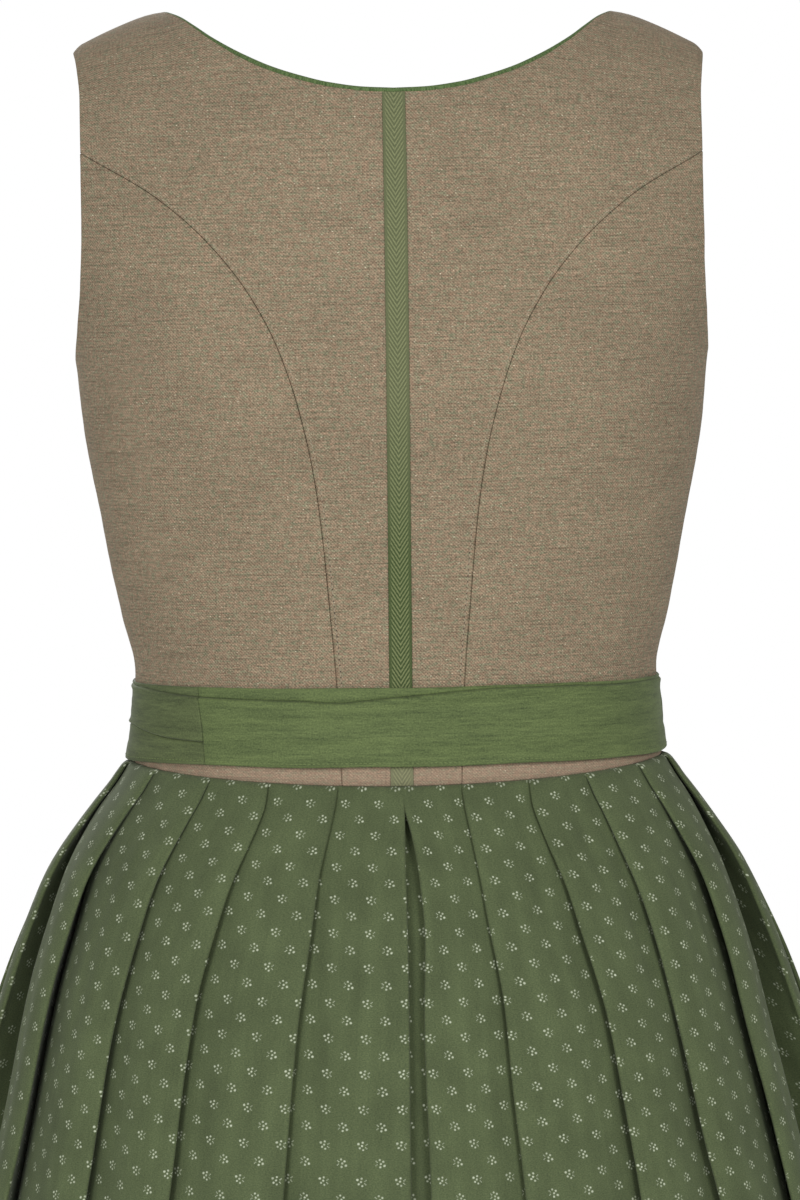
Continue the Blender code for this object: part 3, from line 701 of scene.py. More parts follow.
def printed_cotton():
    """Fine cotton printed with small pale sprigs: a matt green ground with a slight bloom."""
    material, tree, uv = new_cloth("printed_cotton", 0.82, 0.10, 0.25)
    repeat = (17.6, 17.3)  # mm across and down; every second row is set half a repeat over
    cells = []
    for shift in (0.0, 0.5):
        drawn = {"Scale": (1 / repeat[0], 1 / repeat[1], 1.0), "Location": (shift, shift, 0)}
        whole = vector_maths(tree, "FRACTION", add(tree, "Mapping", {"Vector": uv, **drawn}))
        centred = vector_maths(tree, "ADD", whole, (-0.5, -0.5, 0.0))
        cells.append(vector_maths(tree, "MULTIPLY", centred, (*repeat, 0.0)))
    turned = vector_maths(tree, "MULTIPLY", cells[1], (-1.0, -1.0, 0.0))
    far = [vector_maths(tree, "LENGTH", cell).outputs["Value"] for cell in cells]
    nearer = maths(tree, "LESS_THAN", far[1], far[0])
    sprig = add(tree, "Mix", {"Factor": nearer, 4: cells[0], 5: turned}, data_type="VECTOR")
    rough = noise(tree, uv, 0.9, 1.0)
    frayed = mix(tree, 0.18, sprig.outputs[1], rough.outputs["Color"], "LINEAR_LIGHT")
    # petals and leaves of one sprig: across and up from its middle, and radius, in millimetres
    dots = (
        (0, 0, 0.42), (-0.25, 1.6, 0.42), (1.65, 0.95, 0.5), (1, -1.1, 0.42), (-0.6, -1.95, 0.38),
        (-1.8, 0.35, 0.16), (-2.3, 0.8, 0.16), (-1.7, -0.8, 0.18), (-2.2, -1.3, 0.16),
    )
    mask = None
    for x, y, radius in dots:
        reach = vector_maths(tree, "DISTANCE", frayed, (x, y, 0.0)).outputs["Value"]
        spot = remap(tree, reach, radius + 0.26, radius - 0.22)
        mask = spot if mask is None else maths(tree, "MAXIMUM", mask, spot)
    worn = noise(tree, uv, 0.35, 2.0)
    ink = maths(tree, "MULTIPLY", mask, remap(tree, worn, 0.3, 0.7, 0.5, 0.95))

    weave = threads(tree, uv, 0.9, 0.6, rough=0.7)
    cloud = noise(tree, uv, 1 / 22, 4.0)
    ground = ramp(tree, weave, (0.3, "#475338"), (0.7, "#65704B"))
    aged = ramp(tree, cloud, (0.3, 0.86), (0.7, 1.07))
    faded = ramp(tree, threads(tree, uv, 9, 95, 3.0), (0.36, 0.93), (0.68, 1.12))
    green = multiplied(tree, ground, aged, faded)
    surface(tree, mix(tree, ink, green, linear("#D8E0C6")), weave, 0.2, 0.2)
    return material


def slub_cotton(name, dark, light):
    """Plain-woven cotton with thick and thin weft: a lively green with long level streaks."""
    material, tree, uv = new_cloth(name, 0.72, 0.12, 0.35)
    sizes = ((14.0, 1.3, 2.0), (4.0, 0.8, 29.0), (45.0, 4.0, 47.0), (0.8, 0.8, 71.0))
    streaks = [threads(tree, uv, length, thick, 2.0, seed) for length, thick, seed in sizes]
    wefts = mix(tree, 0.45, streaks[0], streaks[1])
    shade = mix(tree, 0.4, mix(tree, 0.4, wefts, streaks[2]), streaks[3])
    surface(tree, ramp(tree, shade, (0.36, dark), (0.62, light)), wefts, 0.35, 0.35)
    return material


def herringbone_tape():
    """Cotton herringbone tape: pale ribs that meet in points down its middle, and dark edges."""
    material, tree, uv = new_cloth("herringbone_tape", 0.85, 0.08, 0.25)
    parts = add(tree, "SeparateXYZ", {0: uv})
    across = maths(tree, "ABSOLUTE", parts.outputs["X"])
    slant = maths(tree, "MULTIPLY_ADD", across, -1.6, parts.outputs["Y"])
    rib_pitch = 2.7  # mm down the tape
    wave = maths(tree, "SINE", maths(tree, "MULTIPLY", slant, 2 * np.pi / rib_pitch))
    edge = remap(tree, across, 3.7, 4.7, 1.0, 0.25)
    ribs = maths(tree, "MULTIPLY", wave, edge)
    mottled = maths(tree, "MULTIPLY_ADD", noise(tree, uv, 1.1, 2.0), 2.4, -1.2)
    level = remap(tree, maths(tree, "ADD", ribs, mottled), -1.1, 1.1)
    inner = ramp(tree, level, (0.22, "#41512C"), (0.9, "#7E865B"))
    firm = remap(tree, across, 3.9, 4.9, 0.0, 0.8)
    woven = mix(tree, firm, inner, linear("#44532F"))
    faded = remap(tree, parts.outputs["Y"], 110.0, 190.0, 0.0, 0.24)
    # painted light: paler below the band, as on the linen
    painted_light = remap(tree, parts.outputs["Y"], PAINTED_LIGHT_FROM, PAINTED_LIGHT_TO, 0.0, 0.5)
    paler = maths(tree, "MAXIMUM", faded, painted_light)
    surface(tree, mix(tree, paler, woven, linear("#9E9A7C")), ribs, 0.5, 0.3)
    return material


def bias_cotton():
    """Bias-cut cotton over a cord: fine slanting threads on a dark green."""
    material, tree, uv = new_cloth("bias_cotton", 0.8, 0.08, 0.3)
    slanting = threads(tree, uv, 0.9, 3.0, rough=0.5, lean=45.0)
    surface(tree, ramp(tree, slanting, (0.35, "#42582F"), (0.65, "#667C4C")), slanting, 0.4, 0.2)
    return material


def sewing_thread(name, code):
    """Spun polyester thread: two plies that show as a fine ripple."""
    material, tree = new_material(name, 0.6, 0.1, 0.4)
    here = add(tree, "TexCoord").outputs["Object"]
    plies = noise(tree, here, 1 / (0.6 * MM), 1.0)
    light = linear(code)
    surface(tree, mix(tree, plies, (*[channel * 0.72 for channel in light[:3]], 1.0), light))
    return material


def polished_horn():
    """Cut and polished horn: brown streaks under a soft gloss."""
    material, tree = new_material("polished_horn", 0.32, 0.0, 0.5)
    here = add(tree, "TexCoord").outputs["Object"]
    drawn = {"Scale": (900.0, 250.0, 180.0), "Rotation": (0.2, 0.1, 0.5)}
    grain = add(tree, "Mapping", {"Vector": here, **drawn})
    streaky = {"Vector": grain, "Scale": 1.0, "Detail": 3.0, "Distortion": 0.6}
    streak = add(tree, "TexNoise", streaky)
    colour = ramp(tree, streak, (0.32, "#2E2115"), (0.68, "#8A6A45"), (0.5, "#594027"))
    surface(tree, colour, streak, 0.15, 0.1)
    return material


def painted_floor():
    """Matt white paint, for the studio floor."""
    material, tree = new_material("matt_white_paint", 0.9)
    patches = noise(tree, add(tree, "TexCoord").outputs["Object"], 2.0, 2.0)
    surface(tree, ramp(tree, patches, (0.3, "#E6E6E4"), (0.7, "#F2F2F0")))
    return material


# ---------------------------------------------------------------- bodice

BODICE_WALL = 0.6
# the edges of a seam, of an armhole and of the neck: their turnings
PRESSED = (0.3, 2.0, 0.26)
HEMMED = (0.5, 2.5, 0.0)
NECK_TURN = (0.15, 2.5, 0.0)
FRONT_CLOTH = (2011.0, 0.0)  # cut from another place of the linen than the back
SHOULDER_TURN = (0.15, 2.5, 0.3)


MM_PER_TURN = 2.3  # along the bodice's round, for a degree of turn


def relief(turn, rise, back, side):
    """How far the linen stands out or in, on one side's back or front: ripples, less drags."""
    turn = side * (turn if back else 180.0 - turn)
    press = 0.0
    for turn_1, rise_1, turn_2, rise_2, deep, half in BODICE_DRAGS:
        start = np.array([turn_1 * MM_PER_TURN, rise_1])
        run = np.array([turn_2 * MM_PER_TURN, rise_2]) - start
        here = paired(turn * MM_PER_TURN, rise) - start
        along = (here @ run) / (run @ run)
        off = np.abs(here[..., 0] * run[1] - here[..., 1] * run[0]) / np.linalg.norm(run)
        press = press + deep * hump(off / half) * np.sin(np.pi * np.clip(along, 0, 1)) ** 0.7
    ripple = 0.25 * wander(rise / 26.0 + turn / 30.0, 5)
    ripple = ripple + 0.22 * wander(turn / 9.0 - rise / 60.0, 6)
    fine = 0.10 * wander(turn / 2.2 + rise / 21.0, 7) + 0.10 * wander(rise / 5.5 - turn / 24.0, 8)
    # the linen is drawn up in small wrinkles where it comes out below the band, on one side
    here = ease((15.0 - rise) / 8.0) * ease((turn - 28.0) / 15.0) * (turn < 95.0)
    drawn = 0.5 * wander(turn / 1.7, 9) * here
    return (ripple + fine) * ease((rise - 44.0) / 16.0) - press + drawn


def panel(name, turn, rise, ridge, back, side, turnings, material):
    """One bodice panel: its relief, its mirror image for the wearer's right, and its turnings."""
    points = bodice_point(turn, rise, back, ridge + relief(turn, rise, back, side))
    x = body_width(rise) * np.sin(np.radians(turn))
    # how far over the shoulder, from 0 to 1
    over = 1.0 - np.clip((ridge_rise(x) - rise) / SHOULDER_ROUND, 0.0, 1.0)
    level = round_length(turn, rise, back)
    down = rise + SHOULDER_ROUND * (np.arcsin(over) - over)
    chart = np.stack([level + (x - level) * over**2, down], axis=-1)
    if side < 0:
        points = points * (-1.0, 1.0, 1.0)
        chart = chart * (-1.0, 1.0)
    if not back:
        chart = chart + FRONT_CLOTH
    points, chart = turn_in(points, chart, turnings, BODICE_WALL)
    return cloth(name, points, chart, BODICE_WALL, material)


def seam_ridge(away):
    """A centre panel stands a little proud beside its seam, over the seam's allowances."""
    return 0.35 * ease(1.0 - away / 2.6)


def closing(low, high, count):
    """Steps from low to high that get shorter toward high."""
    return high - (high - low) * (1.0 - np.linspace(0.0, 1.0, count)) ** 1.7


def stretches(start, *runs):
    """Even steps from a start through runs that each have an end and a count."""
    steps = [np.array([start])]
    for end, count in runs:
        steps.append(np.linspace(start, end, count)[1:])
        start = end
    return np.concatenate(steps)


def far_edge(princess_x, rise, on_seam):
    """Far edge of a centre panel: along its princess seam, then round the armhole."""
    return np.where(on_seam, princess_x(rise) - beside(princess_x, rise), armhole_x(rise))


def back_centre_grid():
    """From the centre back to the princess seam and the armhole, up to the shoulder."""
    steep = 180.0  # above this rise the seam turns out to the armhole
    below = stretches(0.0, (steep, 44), (BACK_SEAM_TOP, 76))
    far_rise = np.concatenate([below, closing(BACK_SEAM_TOP, TIP_TOP, 24)[1:]])[:, None]
    neck = NECK_X / TIP_X
    tip = 1.0 - TIP_ROUND / TIP_X
    dense = 0.8 * neck  # from here the columns get closer together toward the neck's corner
    strap = stretches(neck, (tip, 10), (1.0, 7))
    u = [np.linspace(0.0, dense, 19), closing(dense, neck, 16)[1:], strap[1:]]
    u = np.concatenate(u)[None, :]
    on_seam = far_rise <= BACK_SEAM_TOP
    edge = far_edge(back_princess_x, far_rise, on_seam)
    top_x = u * TIP_X
    top = np.where(u <= neck, back_neck_rise(top_x), ridge_rise(top_x))
    x = SEAM / 2 + u * (edge - SEAM / 2)
    rise = top * far_rise / TIP_TOP + waist_low(turn_of(x, 0.0), far_rise)
    return turn_of(x, rise), rise, seam_ridge(edge - x) * on_seam


def side_grid(princess_x, tip):
    """From a princess seam to the side seam, up to the lower part of the armhole."""
    v = stretches(0.0, (0.6, 44), (1.0, 76))[:, None]
    u = np.linspace(0.0, 1.0, 30)[None, :]
    top = UNDERARM_RISE + (tip - UNDERARM_RISE) * (1.0 - u) ** 2
    seam_top = turn_of(princess_x(top) + beside(princess_x, top), top)
    reach = np.maximum((armhole_turn(top) - seam_top) / (90.0 - seam_top), 0.0)
    share = (1.0 - v) * u + v * reach
    rise = v * top
    seam = turn_of(princess_x(rise) + beside(princess_x, rise), rise)
    turn = seam + share * (90.0 - seam)
    return turn, rise + waist_low(turn, rise), 0.0


def front_centre_grid():
    """From the centre front and the neckline to the princess seam and the armhole."""
    corner = 195.0  # where the neckline starts to leave the centre front, on the far edge's scale
    below = [np.linspace(0.0, corner - 1.0, 52), np.linspace(corner - 0.6, FRONT_SEAM_TOP, 26)]
    far_rise = np.concatenate([*below, closing(FRONT_SEAM_TOP, TIP_TOP, 44)[1:]])[:, None]
    near_rise = far_rise / TIP_TOP * NECK_RISE
    near = np.maximum(front_neck_x(near_rise), SEAM / 2)
    on_seam = far_rise <= FRONT_SEAM_TOP
    far = far_edge(front_princess_x, far_rise, on_seam)
    u = stretches(0.0, (0.88, 20), (1.0, 7))[None, :]
    x = near + u * (far - near)
    rise = near_rise + u * (far_rise - near_rise) + waist_low(turn_of(x, 0.0), far_rise)
    short = ridge_rise(NECK_X + u * (TIP_X - NECK_X)) - (NECK_RISE + u * (TIP_TOP - NECK_RISE))
    rise = rise + short * ease((far_rise - 300.0) / (TIP_TOP - 300.0))
    return turn_of(x, rise), rise, seam_ridge(far - x) * on_seam


def make_bodice(material):
    """Eight panels, each with its pressed seams and turned edges."""
    outer_seam = (("last_column", *PRESSED), ("first_row", *PRESSED))
    back_edges = (*outer_seam, ("first_column", *PRESSED), ("last_row", *SHOULDER_TURN))
    front_edges = (*outer_seam, ("first_column", *NECK_TURN), ("last_row", *SHOULDER_TURN))
    side_edges = (("first_column", *PRESSED), *outer_seam, ("last_row", *HEMMED))
    back_side, front_side = (
        side_grid(back_princess_x, BACK_SEAM_TOP), side_grid(front_princess_x, FRONT_SEAM_TOP),
    )
    # width, length and area that each panel is cut to, turnings left out
    parts = {
        "back_centre": (back_centre_grid(), True, back_edges, (0.155, 0.385, 0.0290)),
        "back_side": (back_side, True, side_edges, (0.165, 0.310, 0.0395)),
        "front_side": (front_side, False, side_edges, (0.150, 0.262, 0.0325)),
        "front_centre": (front_centre_grid(), False, front_edges, (0.150, 0.400, 0.0255)),
    }
    for part, (grid, back, turnings, (width, length, area)) in parts.items():
        for side_name, side in (("left", 1.0), ("right", -1.0)):
            node = f"{part}_{side_name}"
            piece = panel(f"linen_{node}", *grid, back, side, turnings, material)
            sheet = {"held": "stretched", "rests_on": ["shoulders"], "area": area}
            keep(piece, "bodice_linen", node, flat=(width, length), **sheet)


def middle_strip(width, low, high, back, lift, rows, columns):
    """A narrow strip up the centre back or the centre front."""
    rise = np.linspace(low, high, rows)[:, None]
    x = np.linspace(-width / 2, width / 2, columns)[None, :]
    turn = turn_of(np.abs(x), rise)
    side = np.where(x >= 0, 1.0, -1.0)
    points = bodice_point(turn, rise, back, lift + relief(turn, rise, back, side))
    points[..., 0] *= side
    chart = paired(x, rise)
    return points, chart


STRIP_LOW = SEAM * 2 - WAIST_DROP
TAPE_LIFT = 0.75
TAPE_WALL = 0.5
PLACKET_WALL = 0.9
PLACKET_CLOTH = (777.0, 0.0)  # cut from another place of the linen than the panels


def make_tape(material):
    high = BACK_NECK[0][1] - SEAM
    points, chart = middle_strip(TAPE_WIDTH, STRIP_LOW, high, True, TAPE_LIFT, 90, 9)
    turnings = [(edge, 0.1, 0.15, 0.0) for edge in ("first_column", "last_column")]
    points, chart = turn_in(points, chart, turnings, TAPE_WALL)
    piece = cloth("herringbone_back_tape", points, chart, TAPE_WALL, material)
    keep(
        piece, "tape_cotton", "back_tape",
        flat=(0.0135, 0.340), held="stretched",
        rests_on=["linen_back_centre_left", "linen_back_centre_right"],
    )


def make_placket(material):
    points, chart = middle_strip(PLACKET_WIDTH, STRIP_LOW, PLACKET_TOP, False, LIFT, 60, 13)
    turnings = [(edge, 0.3, 0.2, 0.0) for edge in ("first_column", "last_column", "last_row")]
    points, chart = turn_in(points, chart + PLACKET_CLOTH, turnings, PLACKET_WALL)
    piece = cloth("linen_front_placket", points, chart, PLACKET_WALL, material)
    keep(
        piece, "bodice_linen", "front_placket",
        flat=(0.022, 0.204), held="stretched",
        rests_on=["linen_front_centre_left", "linen_front_centre_right"],
    )


def neck_line():
    """The neck edge from the centre front over the shoulder to the centre back, with its frames."""
    rises = stretches(205.0, (214.0, 24), (372.0, 56))
    rises = np.concatenate([rises, NECK_RISE - 6.0 * np.linspace(0.9, 0.05, 9) ** 2])
    xs = np.maximum(front_neck_x(rises), SEAM)
    back_xs = stretches(0.998, (0.9, 14), (0.0, 46)) * NECK_X
    back_rises = back_neck_rise(back_xs)
    inner, lower, farther = (
        np.concatenate([
            bodice_point(turn_of(xs + more, rises - less), rises - less, False),
            bodice_point(turn_of(back_xs + more, back_rises - less), back_rises - less, True),
        ])
        for more, less in ((0.0, 0.0), (0.0, 2.0), (2.0, 0.0))
    )
    along = np.gradient(inner, axis=0)
    along[-1] = (-1.0, 0.0, 0.0)
    along[0] = (1.0, 0.0, 0.0)
    along = unit(along)
    face = unit(np.cross(lower - inner, farther - inner))
    face = np.where((face[:, 1] * inner[:, 1] < 0)[:, None], -face, face)
    upward = unit(np.cross(along, face))
    flip = np.sum(upward * (lower + farther - 2 * inner), axis=-1) > 0
    upward = np.where(flip[:, None], -upward, upward)
    outward = unit(np.cross(upward, along))
    outward = np.where((np.sum(outward * face, axis=-1) < 0)[:, None], -outward, outward)
    return inner, outward, upward


def make_piping(material):
    """A covered cord whose flange goes down into the neck edge."""
    inner, outward, upward = neck_line()
    # it goes in behind the linen toward the shoulders, and comes out again over the front
    sunk = ease((np.abs(inner[:, 0]) - 62.0) / 40.0)
    over_front = np.maximum(1.0 + inner[:, 1] / 30.0, 0.0) ** 2
    sunk = np.where(inner[:, 1] < 0.0, over_front, sunk)[:, None]
    centre = inner + upward * (PIPING_AWAY - 1.0 * sunk) - outward * 0.7 * sunk
    mirror = np.array([-1.0, 1.0, 1.0])
    path, outward, upward = (
        np.concatenate([half, half[-2::-1] * mirror]) for half in (centre, outward, upward)
    )
    angles = np.linspace(0.0, 2 * np.pi, 16, endpoint=False)
    down = np.abs((angles - 1.5 * np.pi + np.pi) % (2 * np.pi) - np.pi)
    radii = PIPING_RADIUS + 0.7 * hump(down / 0.5)
    piece = tube("corded_neck_piping", path, outward, upward, (angles, radii), material)
    keep(piece, "piping_cotton", "neck_piping")


def on_body(turn, rise, back, side, lift):
    """Points laid on the bodice with their outward directions."""
    lift = lift + relief(turn, rise, back, side)
    points = bodice_point(turn, rise, back, lift)
    outward = unit(bodice_point(turn, rise, back, lift + 1.0) - points)
    mirror = np.array([side, 1.0, 1.0])
    return points * mirror, outward * mirror


def make_bodice_stitches(thread, hole):
    """The fine topstitching beside each princess seam, on the side of the centre panel."""
    from_seam = curve(((0.0, 2.2), (130.0, 2.1), (200.0, 1.9), (308.0, 1.3)))
    for name, princess_x, top, back in (
        ("back", back_princess_x, BACK_SEAM_TOP, True),
        ("front", front_princess_x, FRONT_SEAM_TOP, False),
    ):
        runs = []
        for side in (1.0, -1.0):
            rise = np.linspace(9.0, top - 2.0, 240)
            slope = np.gradient(princess_x(rise), rise)
            x = princess_x(rise) - from_seam(rise) * np.sqrt(1.0 + slope**2)
            lift = BODICE_WALL / 2 + seam_ridge(from_seam(rise))
            runs.append(on_body(turn_of(x, rise), rise, back, side, lift))
        piece = sewn(f"princess_stitches_{name}", runs, 2.9, thread, hole, 0.7, 0.5)
        keep(piece, "bodice_linen")


def make_placket_stitches(thread, hole):
    runs = []
    for x in (-PLACKET_WIDTH / 2 + 1.6, PLACKET_WIDTH / 2 - 1.6):
        rise = np.linspace(50.0, PLACKET_TOP - 1.6, 120)
        runs.append(on_body(turn_of(abs(x), rise), rise, False, np.sign(x), LIFT + 0.45))
    piece = sewn("placket_stitches", runs, 2.6, thread, hole)
    keep(piece, "bodice_linen")


def make_buttons(horn, thread, buttonhole_thread):
    """Six four-hole buttons, each sewn on with crossed thread, and their buttonholes."""
    for number, rise in enumerate(BUTTON_RISES, start=1):
        seat, _ = on_body(0.0, rise, False, 1.0, LIFT + 0.6 + SEAM + 0.4)
        ahead, _ = on_body(0.0, rise + 5.0, False, 1.0, LIFT)
        behind, _ = on_body(0.0, rise - 5.0, False, 1.0, LIFT)
        upward = unit(ahead - behind)
        outward = np.array([0.0, -upward[2], upward[1]])
        turned = Matrix((
            (1.0, upward[0], outward[0]),
            (0.0, upward[1], outward[1]),
            (0.0, upward[2], outward[2]),
        )).to_4x4()
        spot = Matrix.Translation(Vector(place(seat)[0])) @ turned
        button = turned_button(f"horn_button_{number}", horn)
        button.data.transform(spot)
        keep(button, "button_horn", f"button_{number}")
        cross = button_thread(f"button_thread_{number}", thread)
        cross.data.transform(spot)
        keep(cross, "button_horn")
        slit = buttonhole(f"buttonhole_{number}", rise, buttonhole_thread)
        keep(slit, "bodice_linen")


def deselect():
    for other in bpy.context.selected_objects:
        other.select_set(False)


def settle(piece):
    """Applies a primitive's modifiers and moves its place into its mesh."""
    deselect()
    piece.select_set(True)
    bpy.context.view_layer.objects.active = piece
    for modifier in list(piece.modifiers):
        bpy.ops.object.modifier_apply(modifier=modifier.name)
    bpy.ops.object.transform_apply(location=True, rotation=True, scale=True)
    return piece


HOLE_RADIUS = 0.62
HOLE_AWAY = 1.15
BAR_LENGTH = 3.3  # of the thread from hole to hole


def turned_button(name, horn):
    """A disc with a rounded rim, a dished face and four holes, facing +Z from the origin."""
    deselect()
    radius = BUTTON_RADIUS * MM
    thick = BUTTON_THICK * MM
    bpy.ops.mesh.primitive_cylinder_add(
        vertices=40, radius=radius, depth=thick, location=(0, 0, thick / 2)
    )
    button = bpy.context.object
    button.name = name
    button.data.name = name
    bpy.ops.object.mode_set(mode="EDIT")
    bpy.ops.mesh.select_mode(type="FACE")
    bpy.ops.mesh.select_all(action="DESELECT")
    bpy.ops.object.mode_set(mode="OBJECT")
    for face in button.data.polygons:
        face.select = face.normal.z > 0.9
    bpy.ops.object.mode_set(mode="EDIT")
    bpy.ops.mesh.inset(thickness=radius * 0.2)
    bpy.ops.mesh.inset(thickness=radius * 0.08)
    bpy.ops.transform.translate(value=(0, 0, -thick * 0.28))
    bpy.ops.mesh.inset(thickness=radius * 0.12)
    bpy.ops.transform.translate(value=(0, 0, -thick * 0.06))
    bpy.ops.object.mode_set(mode="OBJECT")
    rounding = button.modifiers.new("Rounding", "BEVEL")
    rounding.width = 0.35 * MM
    rounding.segments = 3
    rounding.limit_method = "ANGLE"
    rounding.angle_limit = np.radians(40)
    settle(button)
    for across in (-1, 1):
        for up in (-1, 1):
            deselect()
            bpy.ops.mesh.primitive_cylinder_add(
                vertices=14, radius=HOLE_RADIUS * MM, depth=thick * 3,
                location=(across * HOLE_AWAY * MM, up * HOLE_AWAY * MM, thick / 2),
            )
            drill = bpy.context.object
            cut = button.modifiers.new("Hole", "BOOLEAN")
            cut.object = drill
            cut.operation = "DIFFERENCE"
            cut.solver = "EXACT"
            deselect()
            button.select_set(True)
            bpy.context.view_layer.objects.active = button
            bpy.ops.object.modifier_apply(modifier="Hole")
            bpy.data.objects.remove(drill)
    button.data.materials.clear()
    button.data.materials.append(horn)
    button.data.shade_smooth()
    button.data.set_sharp_from_angle(angle=np.radians(35))
    # the horn takes no chart, and the one the cylinder came with varies from run to run
    button.data.uv_layers.remove(button.data.uv_layers[0])
    return button


def button_thread(name, thread):
    """Two crossed bars of thread through the holes."""
    deselect()
    bars = []
    for turn in (45.0, 135.0):
        bpy.ops.mesh.primitive_cylinder_add(
            vertices=8, radius=0.38 * MM, depth=BAR_LENGTH * MM,
            location=(0, 0, (BUTTON_THICK * 0.72 + 0.12) * MM),
            rotation=(np.pi / 2, 0, np.radians(turn)),
        )
        bar = bpy.context.object
        bpy.ops.object.mode_set(mode="EDIT")
        bpy.ops.mesh.select_all(action="SELECT")
        bpy.ops.mesh.subdivide(number_cuts=2)
        bpy.ops.object.mode_set(mode="OBJECT")
        for corner in bar.data.vertices:
            # the ends go down into the holes
            end = abs(corner.co.z) / (1.65 * MM)
            corner.co.y -= 0.9 * MM * max(end - 0.6, 0.0) / 0.4
        bars.append(settle(bar))
    deselect()
    for bar in bars:
        bar.select_set(True)
    bpy.context.view_layer.objects.active = bars[0]
    bpy.ops.object.join()
    piece = bars[0]
    piece.name = name
    piece.data.name = name
    piece.data.materials.clear()
    piece.data.materials.append(thread)
    piece.data.shade_smooth()
    return piece


def buttonhole(name, rise, thread):
    """The two rows of close stitches of a level buttonhole, which show beside its button."""
    runs = []
    for level in (-0.9, 0.9):
        x = np.linspace(-7.6, 7.6, 40)
        here = rise + level
        points = bodice_point(turn_of(np.abs(x), here), np.full(40, here), False, LIFT + 0.45)
        points[:, 0] *= np.where(x >= 0, 1.0, -1.0)
        outward = np.zeros_like(points)
        outward[:, 1] = -1.0
        runs.append((points, outward))
    return sewn(name, runs, 0.7, thread, None, 1.3, 0.25)


# ---------------------------------------------------------------- skirt

PLEAT_WALL = 0.9
FOLD_STEPS = np.radians((0.0, 45.0, 90.0, 135.0, 180.0))[None, :]
SEAM_PULL = 5.2  # how far the waist seam draws the pleats in to the bodice
SEAM_CURVE = 7.0  # depth where the pull ends
OPENING_START = 260.0  # depth where the lapped pleats start to open
UNDERLAY_FALL = 7.2


def skirt_depths():
    """Depths of the skirt's rows, closer together near the waist."""
    top = np.array((0.0, 0.5, 1.2, 2.1, 3.3, 4.8, 6.6, 8.8))
    t = np.linspace(0.0, 1.0, 106)
    return np.concatenate([top, 11.5 + (SKIRT_LENGTH - 11.5) * (0.5 * t + 0.5 * t**2)])


def crease_lines(depth, side):
    """Turn of every outer crease of one half, with the uneven line that a hand leaves."""
    settled = ease(depth / 60.0)
    lines = [np.degrees(np.arcsin(centre_edges[side](depth) / skirt_width(depth)))]
    for k, turn_at in enumerate(crease_turns, start=1):
        seed = 100 * k + (7 if side > 0 else 11)
        sway = (0.5 if side > 0 else 1.3) * wander(depth / 42.0, seed) * settled
        # the pleats aren't set quite evenly
        shift = 2.6 * np.minimum(depth / 40.0, 1.0) if side > 0 else -1.6 - 0.9 * min(k, 4)
        sway = sway + shift * max(0.0, 1.0 - max(k - 4, 0) / 5.0)
        if side < 0 and k in (3, 4, 5):
            sway = sway - (4.0, 9.0, 5.0)[k - 3] * ease(depth / 130.0)
        lines.append(turn_at(depth) + np.degrees(sway / skirt_width(depth)))
    return lines + [np.full_like(depth, 180.0)]


